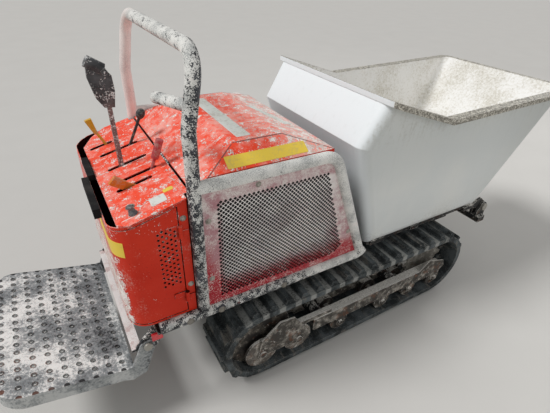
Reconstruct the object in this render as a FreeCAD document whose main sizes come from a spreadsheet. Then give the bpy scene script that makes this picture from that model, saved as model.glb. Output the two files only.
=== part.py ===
import FreeCAD, Part
import math
import os

import Sketcher

# Tracked stand-on site dumper: two rubber tracks, engine bay under a hood, console with levers,
# a moulded hopper that tips over the front, a fold-up step and a tubular guard.
# Millimetres. +X to the hopper end, +Y left, +Z up, origin on the ground under the middle of the box.

Vector = FreeCAD.Vector

# alias, value, what it measures
SIZES = [
    ("track_half", 395, "outer face of a track from the centre plane"),
    ("belt_width", 200, "width of the rubber belt"),
    ("loop_r", 143, "inner radius of the belt round its end wheels"),
    ("belt_thick", 26, "belt without its lugs"),
    ("lug_high", 17, "lug above the belt"),
    ("lug_base", 34, "lug along the belt at its foot"),
    ("lug_tip", 22, "lug along the belt at its tip"),
    ("lug_pitch", 72, "from lug to lug"),
    ("lug_inset", 10, "from the end of a lug to the edge of the belt"),
    ("idler_x", -399, "axle of the rear idler"),
    ("sprocket_x", 584, "axle of the front sprocket"),
    ("guide_high", 26, "guide horn inside the belt"),
    ("guide_long", 30, "guide horn along the belt"),
    ("guide_wide", 34, "guide horn across the belt"),
    ("wheel_gap", 0.3, "between a wheel and the belt"),
    ("rim_gap", 6, "between a wheel and the guide horns"),
    ("tooth_r", 138, "tips of the sprocket teeth"),
    ("root_r", 112, "roots of the sprocket teeth"),
    ("tooth_count", 13, "sprocket teeth"),
    ("sprocket_thick", 16, "sprocket plate"),
    ("roller_r", 46, "lower roller"),
    ("carrier_r", 36, "upper carrier roller"),
    ("carrier_x", 200, "axle of the carrier roller"),
    ("disc_r", 72, "rear steel disc of the tensioner"),
    ("disc_x", -402, "axle of the rear tensioner disc"),
    ("disc_two_x", -230, "axle of the front tensioner disc"),
    ("disc_two_r", 66, "front steel disc of the tensioner"),
    ("disc_out", 374, "outer face of the tensioner discs and the rollers"),
    ("disc_thick", 12, "tensioner disc"),
    ("beam_out", 381, "outer face of the track beam"),
    ("beam_deep", 41, "track beam across"),
    ("beam_low", 115, "lower edge of the outer skirt"),
    ("beam_high", 62, "height of the track beam"),
    ("beam_skirt", 37, "height of the inner skirt"),
    ("beam_wall", 6, "plate of the track beam"),
    ("beam_rear", -155, "rear end of the track beam"),
    ("beam_front", 640, "front end of the track beam"),
    ("inner_plate_in", 228, "inner face of the inner track plate"),
    ("axle_tube_z", 140, "cross tubes that carry the track beams"),
    ("nose_roller_x", 609, "axle of the front outer roller"),
    ("nose_roller_z", 92.5, "axle of the front outer roller"),
    ("gusset_thick", 8, "tensioner plate"),
    ("rail_in", 115, "inner face of a chassis rail"),
    ("rail_wide", 50, "chassis rail across"),
    ("rail_low", 250, "underside of the chassis rails"),
    ("rail_high", 100, "height of the chassis rails"),
    ("rail_wall", 8, "web and flanges of the chassis rails"),
    ("rail_rear", -760, "rear end of the chassis rails"),
    ("rail_front", 905, "front end of the chassis rails"),
    ("axle_tube_r", 28, "cross tubes that carry the track beams"),
    ("axle_rear_x", -100, "rear cross tube"),
    ("axle_front_x", 350, "front cross tube"),
    ("hanger_thick", 12, "plates from the rails to the cross tubes"),
    ("hanger_half", 50, "half length of those plates"),
    ("pivot_x", 945, "hopper pivot"),
    ("pivot_z", 397, "hopper pivot"),
    ("pin_r", 12, "hopper pivot pin"),
    ("pin_gap", 0.05, "running clearance round a pin"),
    ("ear_gap", 2, "between a pivot ear and its bracket"),
    ("ear_out", 312, "outer face of the hopper ears"),
    ("ear_thick", 12, "hopper ear"),
    ("bracket_thick", 12, "pivot bracket plate"),
    ("bar_low", 318, "underside of the front cross bar"),
    ("bar_high", 30, "height of the front cross bar"),
    ("bar_long", 50, "front cross bar fore and aft"),
    ("deck_low", 412, "underside of the engine deck"),
    ("deck_thick", 6, "engine deck plate"),
    ("deck_front", 85, "front edge of the engine deck"),
    ("side_y", 345, "centre of the guard tubes from the centre plane"),
    ("tube_r", 20, "hoop and guard tubes"),
    ("foot_rail_r", 21, "lower side rail tube"),
    ("foot_rail_z", 440, "lower side rail"),
    ("foot_rail_front", 90, "front end of the lower side rail"),
    ("hoop_x", -618, "posts of the hoop"),
    ("hoop_top", 1285, "centre of the top bar of the hoop"),
    ("hoop_lean", 33, "forward lean of the top of the hoop"),
    ("hoop_kink", 1095, "where the posts start to lean"),
    ("hoop_bend", 75, "bend radius at the hoop corners"),
    ("guard_z", 924, "upper run of the side guard"),
    ("guard_front_x", -120, "front bend of the side guard"),
    ("guard_foot_x", 70, "foot of the side guard"),
    ("guard_bend", 70, "bend radius of the side guard"),
    ("mesh_thick", 3, "perforated side panel"),
    ("sheet_thick", 2.5, "sheet metal of hood and cabinet"),
    ("hood_half", 318, "half width of the hood at its foot"),
    ("hood_top_half", 240, "half width of the flat top"),
    ("hood_top", 990, "flat top of the hood"),
    ("hood_eave", 935, "where the hood sides turn down"),
    ("hood_rear", -618, "rear edge of the hood"),
    ("hood_rear_z", 909, "top of that edge"),
    ("hood_ridge_rear", -450, "rear ridge of the flat top"),
    ("hood_ridge_front", -275, "front ridge of the flat top"),
    ("hood_front", -110, "front edge of the hood"),
    ("seat_gap", 0.3, "between a lid and its seat"),
    ("engine_rear", -540, "rear of the engine"),
    ("engine_front", -170, "front of the engine"),
    ("engine_half", 190, "half width of the engine"),
    ("engine_high", 390, "height of the engine"),
    ("cabinet_half", 340, "half width of the cabinet"),
    ("cabinet_rear", -853, "rear face of the cabinet"),
    ("cabinet_front", -640, "front edge of the cabinet sides"),
    ("cabinet_low", 462, "lower edge of the cabinet"),
    ("cabinet_corner", 70, "corner radius of the cabinet"),
    ("door_front", -668, "hinge edge of the side door"),
    ("door_rear_y", 232, "free edge of the side door from the centre plane"),
    ("door_gap", 3, "round the door"),
    ("console_rear", -830, "rear edge of the console"),
    ("console_front", -640, "front edge of the console"),
    ("console_rear_z", 852, "console top at its rear edge"),
    ("console_front_z", 901, "console top at its front edge"),
    ("console_half", 344, "half width of the console"),
    ("console_chamfer", 26, "cut corner of the console"),
    ("slot_wide", 17, "console slot"),
    ("lever_shaft_x", -715, "shaft that carries the levers"),
    ("lever_shaft_z", 780, "shaft that carries the levers"),
    ("lever_shaft_r", 9, "shaft that carries the levers"),
    ("lever_r", 5, "lever rod"),
    ("step_pivot_x", -813, "step pivot"),
    ("step_pivot_z", 340, "step pivot"),
    ("step_half", 309, "half width of the step"),
    ("step_far", 452, "rear edge of the step deck from its pivot"),
    ("step_wall", 6, "plate of the step"),
    ("step_flange", 54, "turned-down rim of the step"),
    ("step_corner", 80, "rear corner radius of the step"),
    ("step_pin_r", 9, "step pivot pin"),
    ("step_bracket", 10, "step bracket plate"),
    ("tub_low", 420, "underside of the hopper"),
    ("tub_wall", 8, "hopper wall"),
    ("tub_rear", 150, "rear edge of the hopper floor"),
    ("tub_front", 868, "front edge of the hopper floor"),
    ("tub_low_half", 316, "half width of the hopper floor"),
    ("tub_half", 352, "half width at the rim"),
    ("shoulder_x", -16, "rear shoulder of the hopper"),
    ("shoulder_z", 919, "rear shoulder of the hopper"),
    ("lip_x", 84, "top of the rear wall"),
    ("lip_z", 1081, "rear lip"),
    ("kink_x", 402, "where the side rim turns level"),
    ("kink_z", 977, "where the side rim turns level"),
    ("nose_x", 1245, "top of the front wall"),
    ("nose_z", 993, "front lip"),
    ("rim_out", 37, "side rim beyond the wall"),
    ("rim_rear", 12, "rear rim beyond the wall"),
    ("rim_high", 20, "height of the rim"),
    ("tub_round", 46, "outer corner radius of the hopper"),
    ("cradle_high", 20, "steel cradle under the hopper"),
    ("ram_x", 80, "lower pivot of the lift cylinder"),
    ("ram_z", 196, "lower pivot of the lift cylinder"),
    ("eye_x", 645, "rod eye at rest"),
    ("eye_z", 347, "rod eye at rest"),
    ("ram_r", 32, "outer radius of the cylinder"),
    ("rod_r", 16, "piston rod"),
    ("ram_pin_r", 12, "cylinder pins"),
    ("slack", 6, "beside the eyes of the lift cylinder"),
    ("eye_half", 18, "half width of the cylinder eyes"),
    ("gusset_in", 376, "inner face of the tensioner plate"),
    ("tie_hole_r", 9, "tie-down holes in the front cross bar"),
    ("deck_rear", -780, "rear edge of the engine deck"),
    ("foot_rail_rear", -770, "rear end of the lower side rail"),
    ("grab_r", 17, "grab tube on the near post"),
    ("hood_skirt", 905, "lower edge of the hood skirt"),
    ("hood_hinge_x", -99, "hinge line of the hood"),
    ("panel_top_z", 900, "top of the front wall of the engine bay"),
    ("hood_hinge_z", 911, "hinge line of the hood"),
    ("knuckle_r", 7, "hinge knuckles"),
    ("hinge_pin_r", 3, "hinge pins"),
    ("console_thick", 4, "console plate"),
    ("door_low", 470, "lower edge of the side door opening"),
    ("foam_deep", 20, "foam bar fore and aft"),
    ("foam_high", 30, "height of the rear foam bar"),
    ("foam_low", 832, "underside of the rear foam bar"),
    ("vent_r", 4.4, "vent holes of the side door"),
    ("vent_pitch", 18, "vent holes up a column"),
    ("vent_column", 12, "between columns of vent holes"),
    ("mesh_pitch", 46, "openings along a row of the side panels"),
    ("mesh_open", 15, "half width of a side panel opening"),
    ("grip_hole_r", 6, "grip holes of the step"),
    ("grip_run", 42, "grip holes fore and aft"),
    ("grip_across", 36, "grip holes across"),
    ("knee_x", 917, "knee of the hopper front wall"),
    ("knee_z", 480, "knee of the hopper front wall"),
    ("rim_end", 1265, "front end of the rim"),
    ("tub_top_half", 361, "half width of the hopper walls carried up to the lip"),
]

doc = FreeCAD.newDocument("tracked_dumper")
sheet = doc.addObject("Spreadsheet::Sheet", "Sizes")
sheet.set("A1", "name")
sheet.set("B1", "value")
sheet.set("C1", "meaning")
for row, (alias, value, meaning) in enumerate(SIZES, start=2):
    sheet.set(f"A{row}", alias)
    sheet.set(f"B{row}", str(value))
    sheet.setAlias(f"B{row}", alias)
    sheet.set(f"C{row}", meaning)
doc.recompute()


# A size keeps its number and the sheet expression that gives it.
class Size:
    def __init__(self, number, text):
        self.number = float(number)
        self.text = text

    def __float__(self):
        return self.number

    def __add__(self, other):
        other = size(other)
        return Size(self.number + other.number, f"({self.text} + {other.text})")

    def __sub__(self, other):
        other = size(other)
        return Size(self.number - other.number, f"({self.text} - {other.text})")

    def __mul__(self, other):
        other = size(other)
        return Size(self.number * other.number, f"({self.text} * {other.text})")

    def __truediv__(self, other):
        other = size(other)
        return Size(self.number / other.number, f"({self.text} / {other.text})")

    def __neg__(self):
        return Size(-self.number, f"(0 - {self.text})")

    def __radd__(self, other):
        return size(other) + self

    def __rsub__(self, other):
        return size(other) - self

    def __rmul__(self, other):
        return size(other) * self


def size(value):
    return value if isinstance(value, Size) else Size(value, repr(float(value)))


class Named:
    pass


S = Named()
for alias, value, meaning in SIZES:
    setattr(S, alias, Size(value, f"Sizes.{alias}"))

LEFT = 1
RIGHT = -1
SIDES = (("left", LEFT), ("right", RIGHT))
nodes = {}


def bind(thing, prop, value):
    thing.setExpression(prop, size(value).text)


def node(name, thing):
    thing.Label = name
    nodes[name] = thing
    return thing


# Solids from a shape worked out here, where no feature fits.
def shaped(shape, name="shape"):
    thing = doc.addObject("Part::Feature", name)
    thing.Shape = shape
    return thing


def box(low, high):
    thing = doc.addObject("Part::Box", "box")
    for prop, a, b in zip(("Length", "Width", "Height"), low, high):
        bind(thing, prop, size(b) - size(a))
    for axis, a in zip("xyz", low):
        bind(thing, f"Placement.Base.{axis}", a)
    return thing


TURNS = {
    "X": FreeCAD.Rotation(Vector(0, 1, 0), 90),
    "Y": FreeCAD.Rotation(Vector(1, 0, 0), -90),
    "Z": FreeCAD.Rotation(),
}


# A cylinder that starts at a point and runs along +axis.
def rod(axis, start, radius, length):
    thing = doc.addObject("Part::Cylinder", "rod")
    thing.Placement.Rotation = TURNS[axis]
    bind(thing, "Radius", radius)
    bind(thing, "Height", length)
    for letter, value in zip("xyz", start):
        bind(thing, f"Placement.Base.{letter}", value)
    return thing


def fused(things):
    if len(things) == 1:
        return things[0]
    thing = doc.addObject("Part::MultiFuse", "fused")
    thing.Shapes = things
    return thing


def cut(base, tools):
    thing = doc.addObject("Part::Cut", "cut")
    thing.Base = base
    thing.Tool = fused(tools)
    return thing


def common(things):
    thing = doc.addObject("Part::MultiCommon", "common")
    thing.Shapes = things
    return thing


def plane_of(body, role):
    for feature in body.Origin.OriginFeatures:
        if feature.Role == role:
            return feature
    raise RuntimeError(role)


# A body padded from a closed outline. XZ outlines run across from low to high in Y,
# XY outlines in Z and YZ outlines in X. Holes are (across, up, radius).
def padded(plane, outline, low, high, holes=()):
    body = doc.addObject("PartDesign::Body", "body")
    sketch = body.newObject("Sketcher::SketchObject", "outline")
    sketch.AttachmentSupport = [(plane_of(body, f"{plane}_Plane"), "")]
    sketch.MapMode = "FlatFace"
    bind(sketch, "AttachmentOffset.Base.z", -size(high) if plane == "XZ" else size(low))
    corners = [(size(a), size(b)) for a, b in outline]
    for i, (a, b) in enumerate(corners):
        c, d = corners[(i + 1) % len(corners)]
        start = Vector(float(a), float(b), 0)
        end = Vector(float(c), float(d), 0)
        sketch.addGeometry(Part.LineSegment(start, end), False)
    count = len(corners)
    for i in range(count):
        sketch.addConstraint(Sketcher.Constraint("Coincident", i, 2, (i + 1) % count, 1))
    for i, (a, b) in enumerate(corners):
        pin_point(sketch, i, 1, a, b)
    for across, up, radius in holes:
        centre = Vector(float(across), float(up), 0)
        circle = sketch.addGeometry(Part.Circle(centre, Vector(0, 0, 1), float(radius)), False)
        pin_point(sketch, circle, 3, size(across), size(up))
        rule = sketch.addConstraint(Sketcher.Constraint("Radius", circle, float(radius)))
        bind(sketch, f"Constraints[{rule}]", radius)
    pad = body.newObject("PartDesign::Pad", "pad")
    pad.Profile = sketch
    bind(pad, "Length", size(high) - size(low))
    body.Tip = pad
    return body


def pin_point(sketch, geometry, vertex, across, up):
    for kind, value in (("DistanceX", across), ("DistanceY", up)):
        rule = sketch.addConstraint(
            Sketcher.Constraint(kind, -1, 1, geometry, vertex, float(value)))
        bind(sketch, f"Constraints[{rule}]", value)


# Rounds the edges of a padded body that run along one axis and pass a test on their middle.
def rounded(body, axis, radius, wanted=lambda middle: True):
    doc.recompute()
    base = body.Tip
    names = []
    for i, edge in enumerate(base.Shape.Edges, start=1):
        run = edge.Vertexes[-1].Point - edge.Vertexes[0].Point
        if run.Length > 1e-6 and abs(getattr(run, axis)) / run.Length > 0.999:
            if wanted(edge.CenterOfMass):
                names.append(f"Edge{i}")
    fillet = body.newObject("PartDesign::Fillet", "round")
    fillet.Base = (base, names)
    bind(fillet, "Radius", radius)
    body.Tip = fillet
    return body


# A fillet on the edges of any solid that pass a test on their middle and direction.
def filleted(thing, radius, wanted):
    doc.recompute()
    picked = []
    for i, edge in enumerate(thing.Shape.Edges, start=1):
        run = edge.Vertexes[-1].Point - edge.Vertexes[0].Point
        if wanted(edge.CenterOfMass, run.normalize()):
            picked.append((i, float(radius), float(radius)))
    soft = doc.addObject("Part::Fillet", "soft")
    soft.Base = thing
    soft.Edges = picked
    return soft


# A bent path: straight runs joined by tangent arcs.
def bent_path(points, bend):
    edges = []
    here = Vector(*points[0])
    for before, corner, after in zip(points, points[1:], points[2:]):
        corner = Vector(*corner)
        back = (Vector(*before) - corner).normalize()
        ahead = (Vector(*after) - corner).normalize()
        half = back.getAngle(ahead) / 2
        reach = bend / math.tan(half)
        middle = corner + (back + ahead).normalize() * (bend / math.sin(half) - bend)
        first = corner + back * reach
        second = corner + ahead * reach
        edges.append(Part.LineSegment(here, first).toShape())
        edges.append(Part.Arc(first, middle, second).toShape())
        here = second
    edges.append(Part.LineSegment(here, Vector(*points[-1])).toShape())
    return Part.Wire(edges)


def bent_tube(points, bend, radius):
    path = bent_path([[float(v) for v in p] for p in points], float(bend))
    start = path.Vertexes[0].Point
    along = Vector(*[float(v) for v in points[1]]) - start
    ring = Part.Wire(Part.Circle(start, along, float(radius)).toShape())
    return path.makePipeShell([ring], True, False)


def straight_tube(start, end, radius):
    start = Vector(*[float(v) for v in start])
    end = Vector(*[float(v) for v in end])
    return Part.makeCylinder(float(radius), (end - start).Length, start, end - start)


# Moves each side of a closed outline inwards and meets the sides again.
def inset(outline, by):
    lines = []
    for (x0, z0), (x1, z1) in zip(outline, outline[1:] + outline[:1]):
        length = math.hypot(x1 - x0, z1 - z0)
        nx = -(z1 - z0) / length
        nz = (x1 - x0) / length
        lines.append((x0 + nx * by, z0 + nz * by, x1 - x0, z1 - z0))
    corners = []
    for (ax, az, adx, adz), (bx, bz, bdx, bdz) in zip([lines[-1]] + lines[:-1], lines):
        across = adx * bdz - adz * bdx
        t = ((bx - ax) * bdz - (bz - az) * bdx) / across
        corners.append((ax + adx * t, az + adz * t))
    return corners


def prism(corners, along):
    points = [Vector(*corner) for corner in corners]
    face = Part.Face(Part.makePolygon(points + points[:1]))
    return face.extrude(Vector(*along))


def side_prism(outline, half):
    return prism([(x, -half, z) for x, z in outline], (0, 2 * half, 0))


def front_prism(outline, low, high):
    return prism([(low, y, z) for y, z in outline], (high - low, 0, 0))


# Tracks

AXLE_Z = S.loop_r + S.belt_thick + S.lug_high
TRACK_Y = S.track_half - S.belt_width / 2


# A point and its outward direction on a loop of two half circles and two straight runs,
# measured from the rear end of the top run.
def on_loop(distance, radius):
    straight = float(S.sprocket_x - S.idler_x)
    turn = math.pi * radius
    z = float(AXLE_Z)
    rest = distance % (2 * straight + 2 * turn)
    if rest < straight:
        return (float(S.idler_x) + rest, z + radius), (0.0, 1.0)
    rest -= straight
    if rest < turn:
        angle = math.pi / 2 - rest / radius
        out = (math.cos(angle), math.sin(angle))
        return (float(S.sprocket_x) + radius * out[0], z + radius * out[1]), out
    rest -= turn
    if rest < straight:
        return (float(S.sprocket_x) - rest, z - radius), (0.0, -1.0)
    rest -= straight
    angle = -math.pi / 2 - rest / radius
    out = (math.cos(angle), math.sin(angle))
    return (float(S.idler_x) + radius * out[0], z + radius * out[1]), out


def loop_breaks(radius):
    straight = float(S.sprocket_x - S.idler_x)
    turn = math.pi * radius
    return [straight, straight + turn, 2 * straight + turn, 2 * straight + 2 * turn]


# Edges that follow the loop between two distances.
def loop_edges(start, end, radius):
    marks = [start] + [b for b in loop_breaks(radius) if start + 0.01 < b < end - 0.01] + [end]
    edges = []
    for a, b in zip(marks, marks[1:]):
        points = []
        for d in (a + 1e-6, (a + b) / 2, b - 1e-6):
            (x, z), out = on_loop(d, radius)
            points.append(Vector(x, 0, z))
        if (points[1] - (points[0] + points[2]) * 0.5).Length < 0.01:
            edges.append((points[0], None, points[2]))
        else:
            edges.append((points[0], points[1], points[2]))
    return edges


def stadium(radius):
    rear = float(S.idler_x)
    front = float(S.sprocket_x)
    z = float(AXLE_Z)
    top = Part.LineSegment(Vector(rear, 0, z + radius), Vector(front, 0, z + radius))
    nose = Part.Arc(Vector(front, 0, z + radius), Vector(front + radius, 0, z),
                    Vector(front, 0, z - radius))
    bottom = Part.LineSegment(Vector(front, 0, z - radius), Vector(rear, 0, z - radius))
    tail = Part.Arc(Vector(rear, 0, z - radius), Vector(rear - radius, 0, z),
                    Vector(rear, 0, z + radius))
    return Part.Wire([c.toShape() for c in (top, nose, bottom, tail)])


def lug_count():
    return int(loop_breaks(float(S.loop_r + S.belt_thick))[-1] / float(S.lug_pitch) + 0.5)


def horn_pitch():
    return loop_breaks(float(S.loop_r))[-1] / lug_count()


def lug_outline():
    radius = float(S.loop_r + S.belt_thick)
    total = loop_breaks(radius)[-1]
    count = lug_count()
    pitch = total / count
    half_base = float(S.lug_base) / 2
    half_tip = float(S.lug_tip) / 2
    edges = []
    for i in range(count):
        middle = (i + 0.5) * pitch
        (x, z), out = on_loop(middle, radius)
        along = (out[1], -out[0])
        tips = []
        for reach in (-half_tip, half_tip):
            high = float(S.lug_high)
            tips.append(Vector(x + out[0] * high + along[0] * reach, 0,
                               z + out[1] * high + along[1] * reach))
        (ax, az), _ = on_loop(middle - half_base, radius)
        (bx, bz), _ = on_loop(middle + half_base, radius)
        foot_a = Vector(ax, 0, az)
        foot_b = Vector(bx, 0, bz)
        for a, b in ((foot_a, tips[0]), (tips[0], tips[1]), (tips[1], foot_b)):
            edges.append(Part.LineSegment(a, b).toShape())
        here = foot_b
        gap = loop_edges(middle + half_base, middle + pitch - half_base, radius)
        for j, (a, via, b) in enumerate(gap):
            if j == len(gap) - 1:
                (nx, nz), _ = on_loop(middle + pitch - half_base, radius)
                b = Vector(nx, 0, nz)
            if via is None:
                edges.append(Part.LineSegment(here, b).toShape())
            else:
                edges.append(Part.Arc(here, via, b).toShape())
            here = b
    return Part.Wire(Part.__sortEdges__(edges))


def guide_horns():
    radius = float(S.loop_r)
    horns = []
    for i in range(lug_count()):
        (x, z), out = on_loop((i + 0.5) * horn_pitch(), radius)
        along = (out[1], -out[0])
        corners = []
        for reach, deep in ((-0.5, -1.0), (0.5, -1.0), (0.28, float(S.guide_high)),
                            (-0.28, float(S.guide_high))):
            shift = reach * float(S.guide_long)
            corners.append((x + along[0] * shift - out[0] * deep,
                            -float(S.guide_wide) / 2,
                            z + along[1] * shift - out[1] * deep))
        horns.append(prism(corners, (0, float(S.guide_wide), 0)))
    return horns


def make_tracks():
    inner = Part.Face(stadium(float(S.loop_r)))
    wide = float(S.belt_width)
    lug_wide = wide - 2 * float(S.lug_inset)
    belt = Part.Face(stadium(float(S.loop_r + S.belt_thick))).cut(inner).extrude(Vector(0, wide, 0))
    belt.translate(Vector(0, -wide / 2, 0))
    lugs = Part.Face(lug_outline()).cut(inner).extrude(Vector(0, lug_wide, 0))
    lugs.translate(Vector(0, -lug_wide / 2, 0))
    belt = belt.fuse([lugs] + guide_horns()).removeSplitter()
    for side, sign in SIDES:
        track = belt.copy()
        track.translate(Vector(0, sign * float(TRACK_Y), 0))
        node(f"track_{side}", shaped(track))


# A wheel in two halves, one each side of the guide horns, on a shaft that runs out to its holder.
def split_wheel(sign, x, z, radius, inner_wide, outer_wide, hub_r, holder_y, outer_holder=None):
    middle = float(TRACK_Y)
    gap = float(S.guide_wide) / 2 + float(S.rim_gap)

    def disc(near, far, r):
        return straight_tube((x, sign * near, z), (x, sign * far, z), r)

    low = middle - gap - inner_wide
    high = middle + gap + outer_wide
    parts = [disc(low, middle - gap, radius), disc(middle + gap, high, radius),
             disc(low, high, hub_r)]
    shaft_r = min(hub_r, 18.0)
    parts.append(disc(holder_y, low + 1, shaft_r))
    if outer_holder:
        parts.append(disc(high - 1, outer_holder, shaft_r))
    return parts[0].fuse(parts[1:])


def make_wheels():
    z = float(AXLE_Z)
    roller_r = float(S.roller_r)
    lower_z = float(AXLE_Z - S.loop_r + S.wheel_gap) + roller_r
    carrier_z = float(AXLE_Z + S.loop_r - S.wheel_gap - S.carrier_r)
    idler_r = float(S.loop_r - S.wheel_gap)
    hub_r = idler_r - float(S.guide_high) - 8
    plate_y = float(S.inner_plate_in + S.gusset_thick)
    lug_y = float(S.beam_out) - 5
    outer_wide = float(S.disc_out - TRACK_Y - S.guide_wide / 2 - S.rim_gap)
    horn = math.degrees(horn_pitch() / float(S.loop_r))
    first = math.ceil(float(S.sprocket_x - S.idler_x) / horn_pitch() - 0.5)
    along = (first + 0.5) * horn_pitch() - float(S.sprocket_x - S.idler_x)
    phase = 90 - math.degrees(along / float(S.loop_r)) - 2.5 * horn
    for side, sign in SIDES:
        wheels = [split_wheel(sign, float(S.idler_x), z, idler_r, 22.0, 22.0, hub_r, plate_y)]
        for x in ROLLER_X:
            wheels.append(split_wheel(sign, x, lower_z, roller_r, 32.0, outer_wide, 14.0, plate_y,
                                      lug_y))
        nose_z = float(S.nose_roller_z)
        nose = straight_tube((S.nose_roller_x, sign * 346, nose_z),
                             (S.nose_roller_x, sign * S.disc_out, nose_z), roller_r)
        wheels.append(nose.fuse(straight_tube((S.nose_roller_x, sign * 350, nose_z),
                                              (S.nose_roller_x, sign * lug_y, nose_z), 14.0)))
        wheels.append(split_wheel(sign, float(S.carrier_x), carrier_z, float(S.carrier_r),
                                  30.0, 30.0, 8.0, float(S.rail_in + S.rail_wide)))
        node(f"rollers_{side}", shaped(Part.makeCompound(wheels)))
        tip = float(S.tooth_r)
        root = float(S.root_r)
        thick = float(S.sprocket_thick)
        plate = Part.makeCylinder(root, thick)
        teeth = []
        count = int(float(S.tooth_count))
        for i in range(count):
            angle = math.radians(phase + 360 * i / count)
            corners = []
            for r, half in ((root - 6, 0.17), (tip, 0.07), (tip, -0.07), (root - 6, -0.17)):
                corners.append((r * math.cos(angle + half), r * math.sin(angle + half), 0))
            teeth.append(prism(corners, (0, 0, thick)))
        plate = plate.fuse(teeth)
        plate.rotate(Vector(0, 0, 0), Vector(1, 0, 0), 90)
        plate.translate(Vector(float(S.sprocket_x), sign * float(TRACK_Y) + thick / 2, z))
        node(f"sprocket_{side}", shaped(plate))


ROLLER_X = (-5, 255, 434)
make_tracks()
make_wheels()


# Low and high Y of something that lies between two distances from the centre plane.
def span(sign, near, far):
    if sign > 0:
        return size(near), size(far)
    return -size(far), -size(near)


def side_box(sign, x, y, z):
    low, high = span(sign, *y)
    return box((x[0], low, z[0]), (x[1], high, z[1]))


def side_plate(sign, outline, near, far, holes=()):
    low, high = span(sign, near, far)
    return padded("XZ", outline, low, high, holes)


def cross_rod(x, z, radius, low, high):
    return rod("Y", (x, low, z), radius, size(high) - size(low))


def side_rod(sign, x, z, radius, near, far):
    low, high = span(sign, near, far)
    return cross_rod(x, z, radius, low, high)


# Track beams: an inverted channel with axle lugs, a tensioner plate outside and a plate inside.
BEAM_IN = S.beam_out - S.beam_deep
BEAM_TOP = S.beam_low + S.beam_high
FLOOR_Z = AXLE_Z - S.loop_r + S.wheel_gap
SKIRT_IN = S.beam_out - 5
ROLLER_Z = FLOOR_Z + S.roller_r
PLATE_OUT = S.inner_plate_in + S.gusset_thick


def axle_lug(sign, x, z):
    lug = side_plate(sign, [(x - 16, z - 15), (x + 16, z - 15), (x + 26, S.beam_low + 4),
                            (x - 26, S.beam_low + 4)], SKIRT_IN, S.beam_out)
    return [lug, side_rod(sign, x, z, 12, S.beam_out - 1, S.beam_out + 9)]


for side, sign in SIDES:
    ends = (S.beam_rear, S.beam_front)
    solids = [
        side_box(sign, ends, (BEAM_IN, S.beam_out), (BEAM_TOP - S.beam_wall, BEAM_TOP)),
        side_box(sign, ends, (SKIRT_IN, S.beam_out), (S.beam_low, BEAM_TOP)),
        side_box(sign, ends, (BEAM_IN, BEAM_IN + 5), (BEAM_TOP - S.beam_skirt, BEAM_TOP)),
        side_plate(sign, [(480, BEAM_TOP - 8), (640, 130), (665, 150), (650, 190), (540, 226),
                          (480, BEAM_TOP)], SKIRT_IN, S.beam_out),
        side_box(sign, (-240, -60), (352, S.gusset_in), (BEAM_TOP, BEAM_TOP + 18)),
        side_plate(sign, [
            (-170, 112), (-200, 92), (-255, 90), (-270, 104), (-370, 104), (-385, 92), (-412, 90),
            (-424, 108), (-420, 130), (-408, 193), (-325, 260), (-257, 252)][::-1],
            S.gusset_in, S.gusset_in + S.gusset_thick)]
    for x in ROLLER_X:
        solids += axle_lug(sign, x, ROLLER_Z)
    solids += axle_lug(sign, S.nose_roller_x, S.nose_roller_z)
    gusset_out = S.gusset_in + S.gusset_thick
    for x, radius in ((S.disc_x, S.disc_r), (S.disc_two_x, S.disc_two_r)):
        solids.append(side_rod(sign, x, FLOOR_Z + radius, 15, gusset_out - 1, gusset_out + 6))
    inner_plate = side_plate(sign, [
        (500, 75), (500, BEAM_TOP), (-340, BEAM_TOP), (-370, 222), (-430, 222), (-430, 150),
        (-400, 130), (-340, 115), (-180, 115), (-155, 75)][::-1],
        S.inner_plate_in, PLATE_OUT,
        [(x, S.axle_tube_z, S.axle_tube_r) for x in (S.axle_rear_x, S.axle_front_x)])
    node(f"track_beam_{side}", fused(solids + [inner_plate]))
    discs = []
    for x, radius in ((S.disc_x, S.disc_r), (S.disc_two_x, S.disc_two_r)):
        z = FLOOR_Z + radius
        discs.append(fused([
            side_rod(sign, x, z, radius, S.disc_out - S.disc_thick, S.disc_out),
            side_rod(sign, x, z, 24, S.disc_out - 1, S.gusset_in)]))
    node(f"tension_discs_{side}", fused(discs))

# Chassis: two box rails, cross tubes on hangers, a beam for the lift cylinder.
RAIL_OUT = S.rail_in + S.rail_wide
RAIL_TOP = S.rail_low + S.rail_high
solids = []
for side, sign in SIDES:
    tube = side_box(sign, (S.rail_rear, S.rail_front), (S.rail_in, RAIL_OUT), (S.rail_low, RAIL_TOP))
    hollow = side_box(sign, (S.rail_rear - 1, S.rail_front + 1),
                      (S.rail_in + S.rail_wall, RAIL_OUT - S.rail_wall),
                      (S.rail_low + S.rail_wall, RAIL_TOP - S.rail_wall))
    solids.append(cut(tube, [hollow]))
    middle = S.rail_in + S.rail_wide / 2
    for x in (S.axle_rear_x, S.axle_front_x):
        solids.append(side_plate(sign, [
            (x - S.hanger_half, S.rail_low), (x - S.hanger_half, 200), (x - 22, 103), (x + 22, 103),
            (x + S.hanger_half, 200), (x + S.hanger_half, S.rail_low)],
            middle - S.hanger_thick / 2, middle + S.hanger_thick / 2))
for x in (S.axle_rear_x, S.axle_front_x):
    solids.append(cross_rod(x, S.axle_tube_z, S.axle_tube_r, -BEAM_IN, BEAM_IN))
solids.append(box((S.rail_rear, -S.rail_in, S.rail_low + 20),
                  (S.rail_rear + 60, S.rail_in, RAIL_TOP - 10)))
solids.append(box((-430, -S.rail_in, S.rail_low + 20), (-370, S.rail_in, RAIL_TOP - 10)))
RAM_BEAM_Z = S.rail_low - 40
solids.append(box((-20, -RAIL_OUT, RAM_BEAM_Z), (S.ram_x - 40, RAIL_OUT, S.rail_low)))
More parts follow.
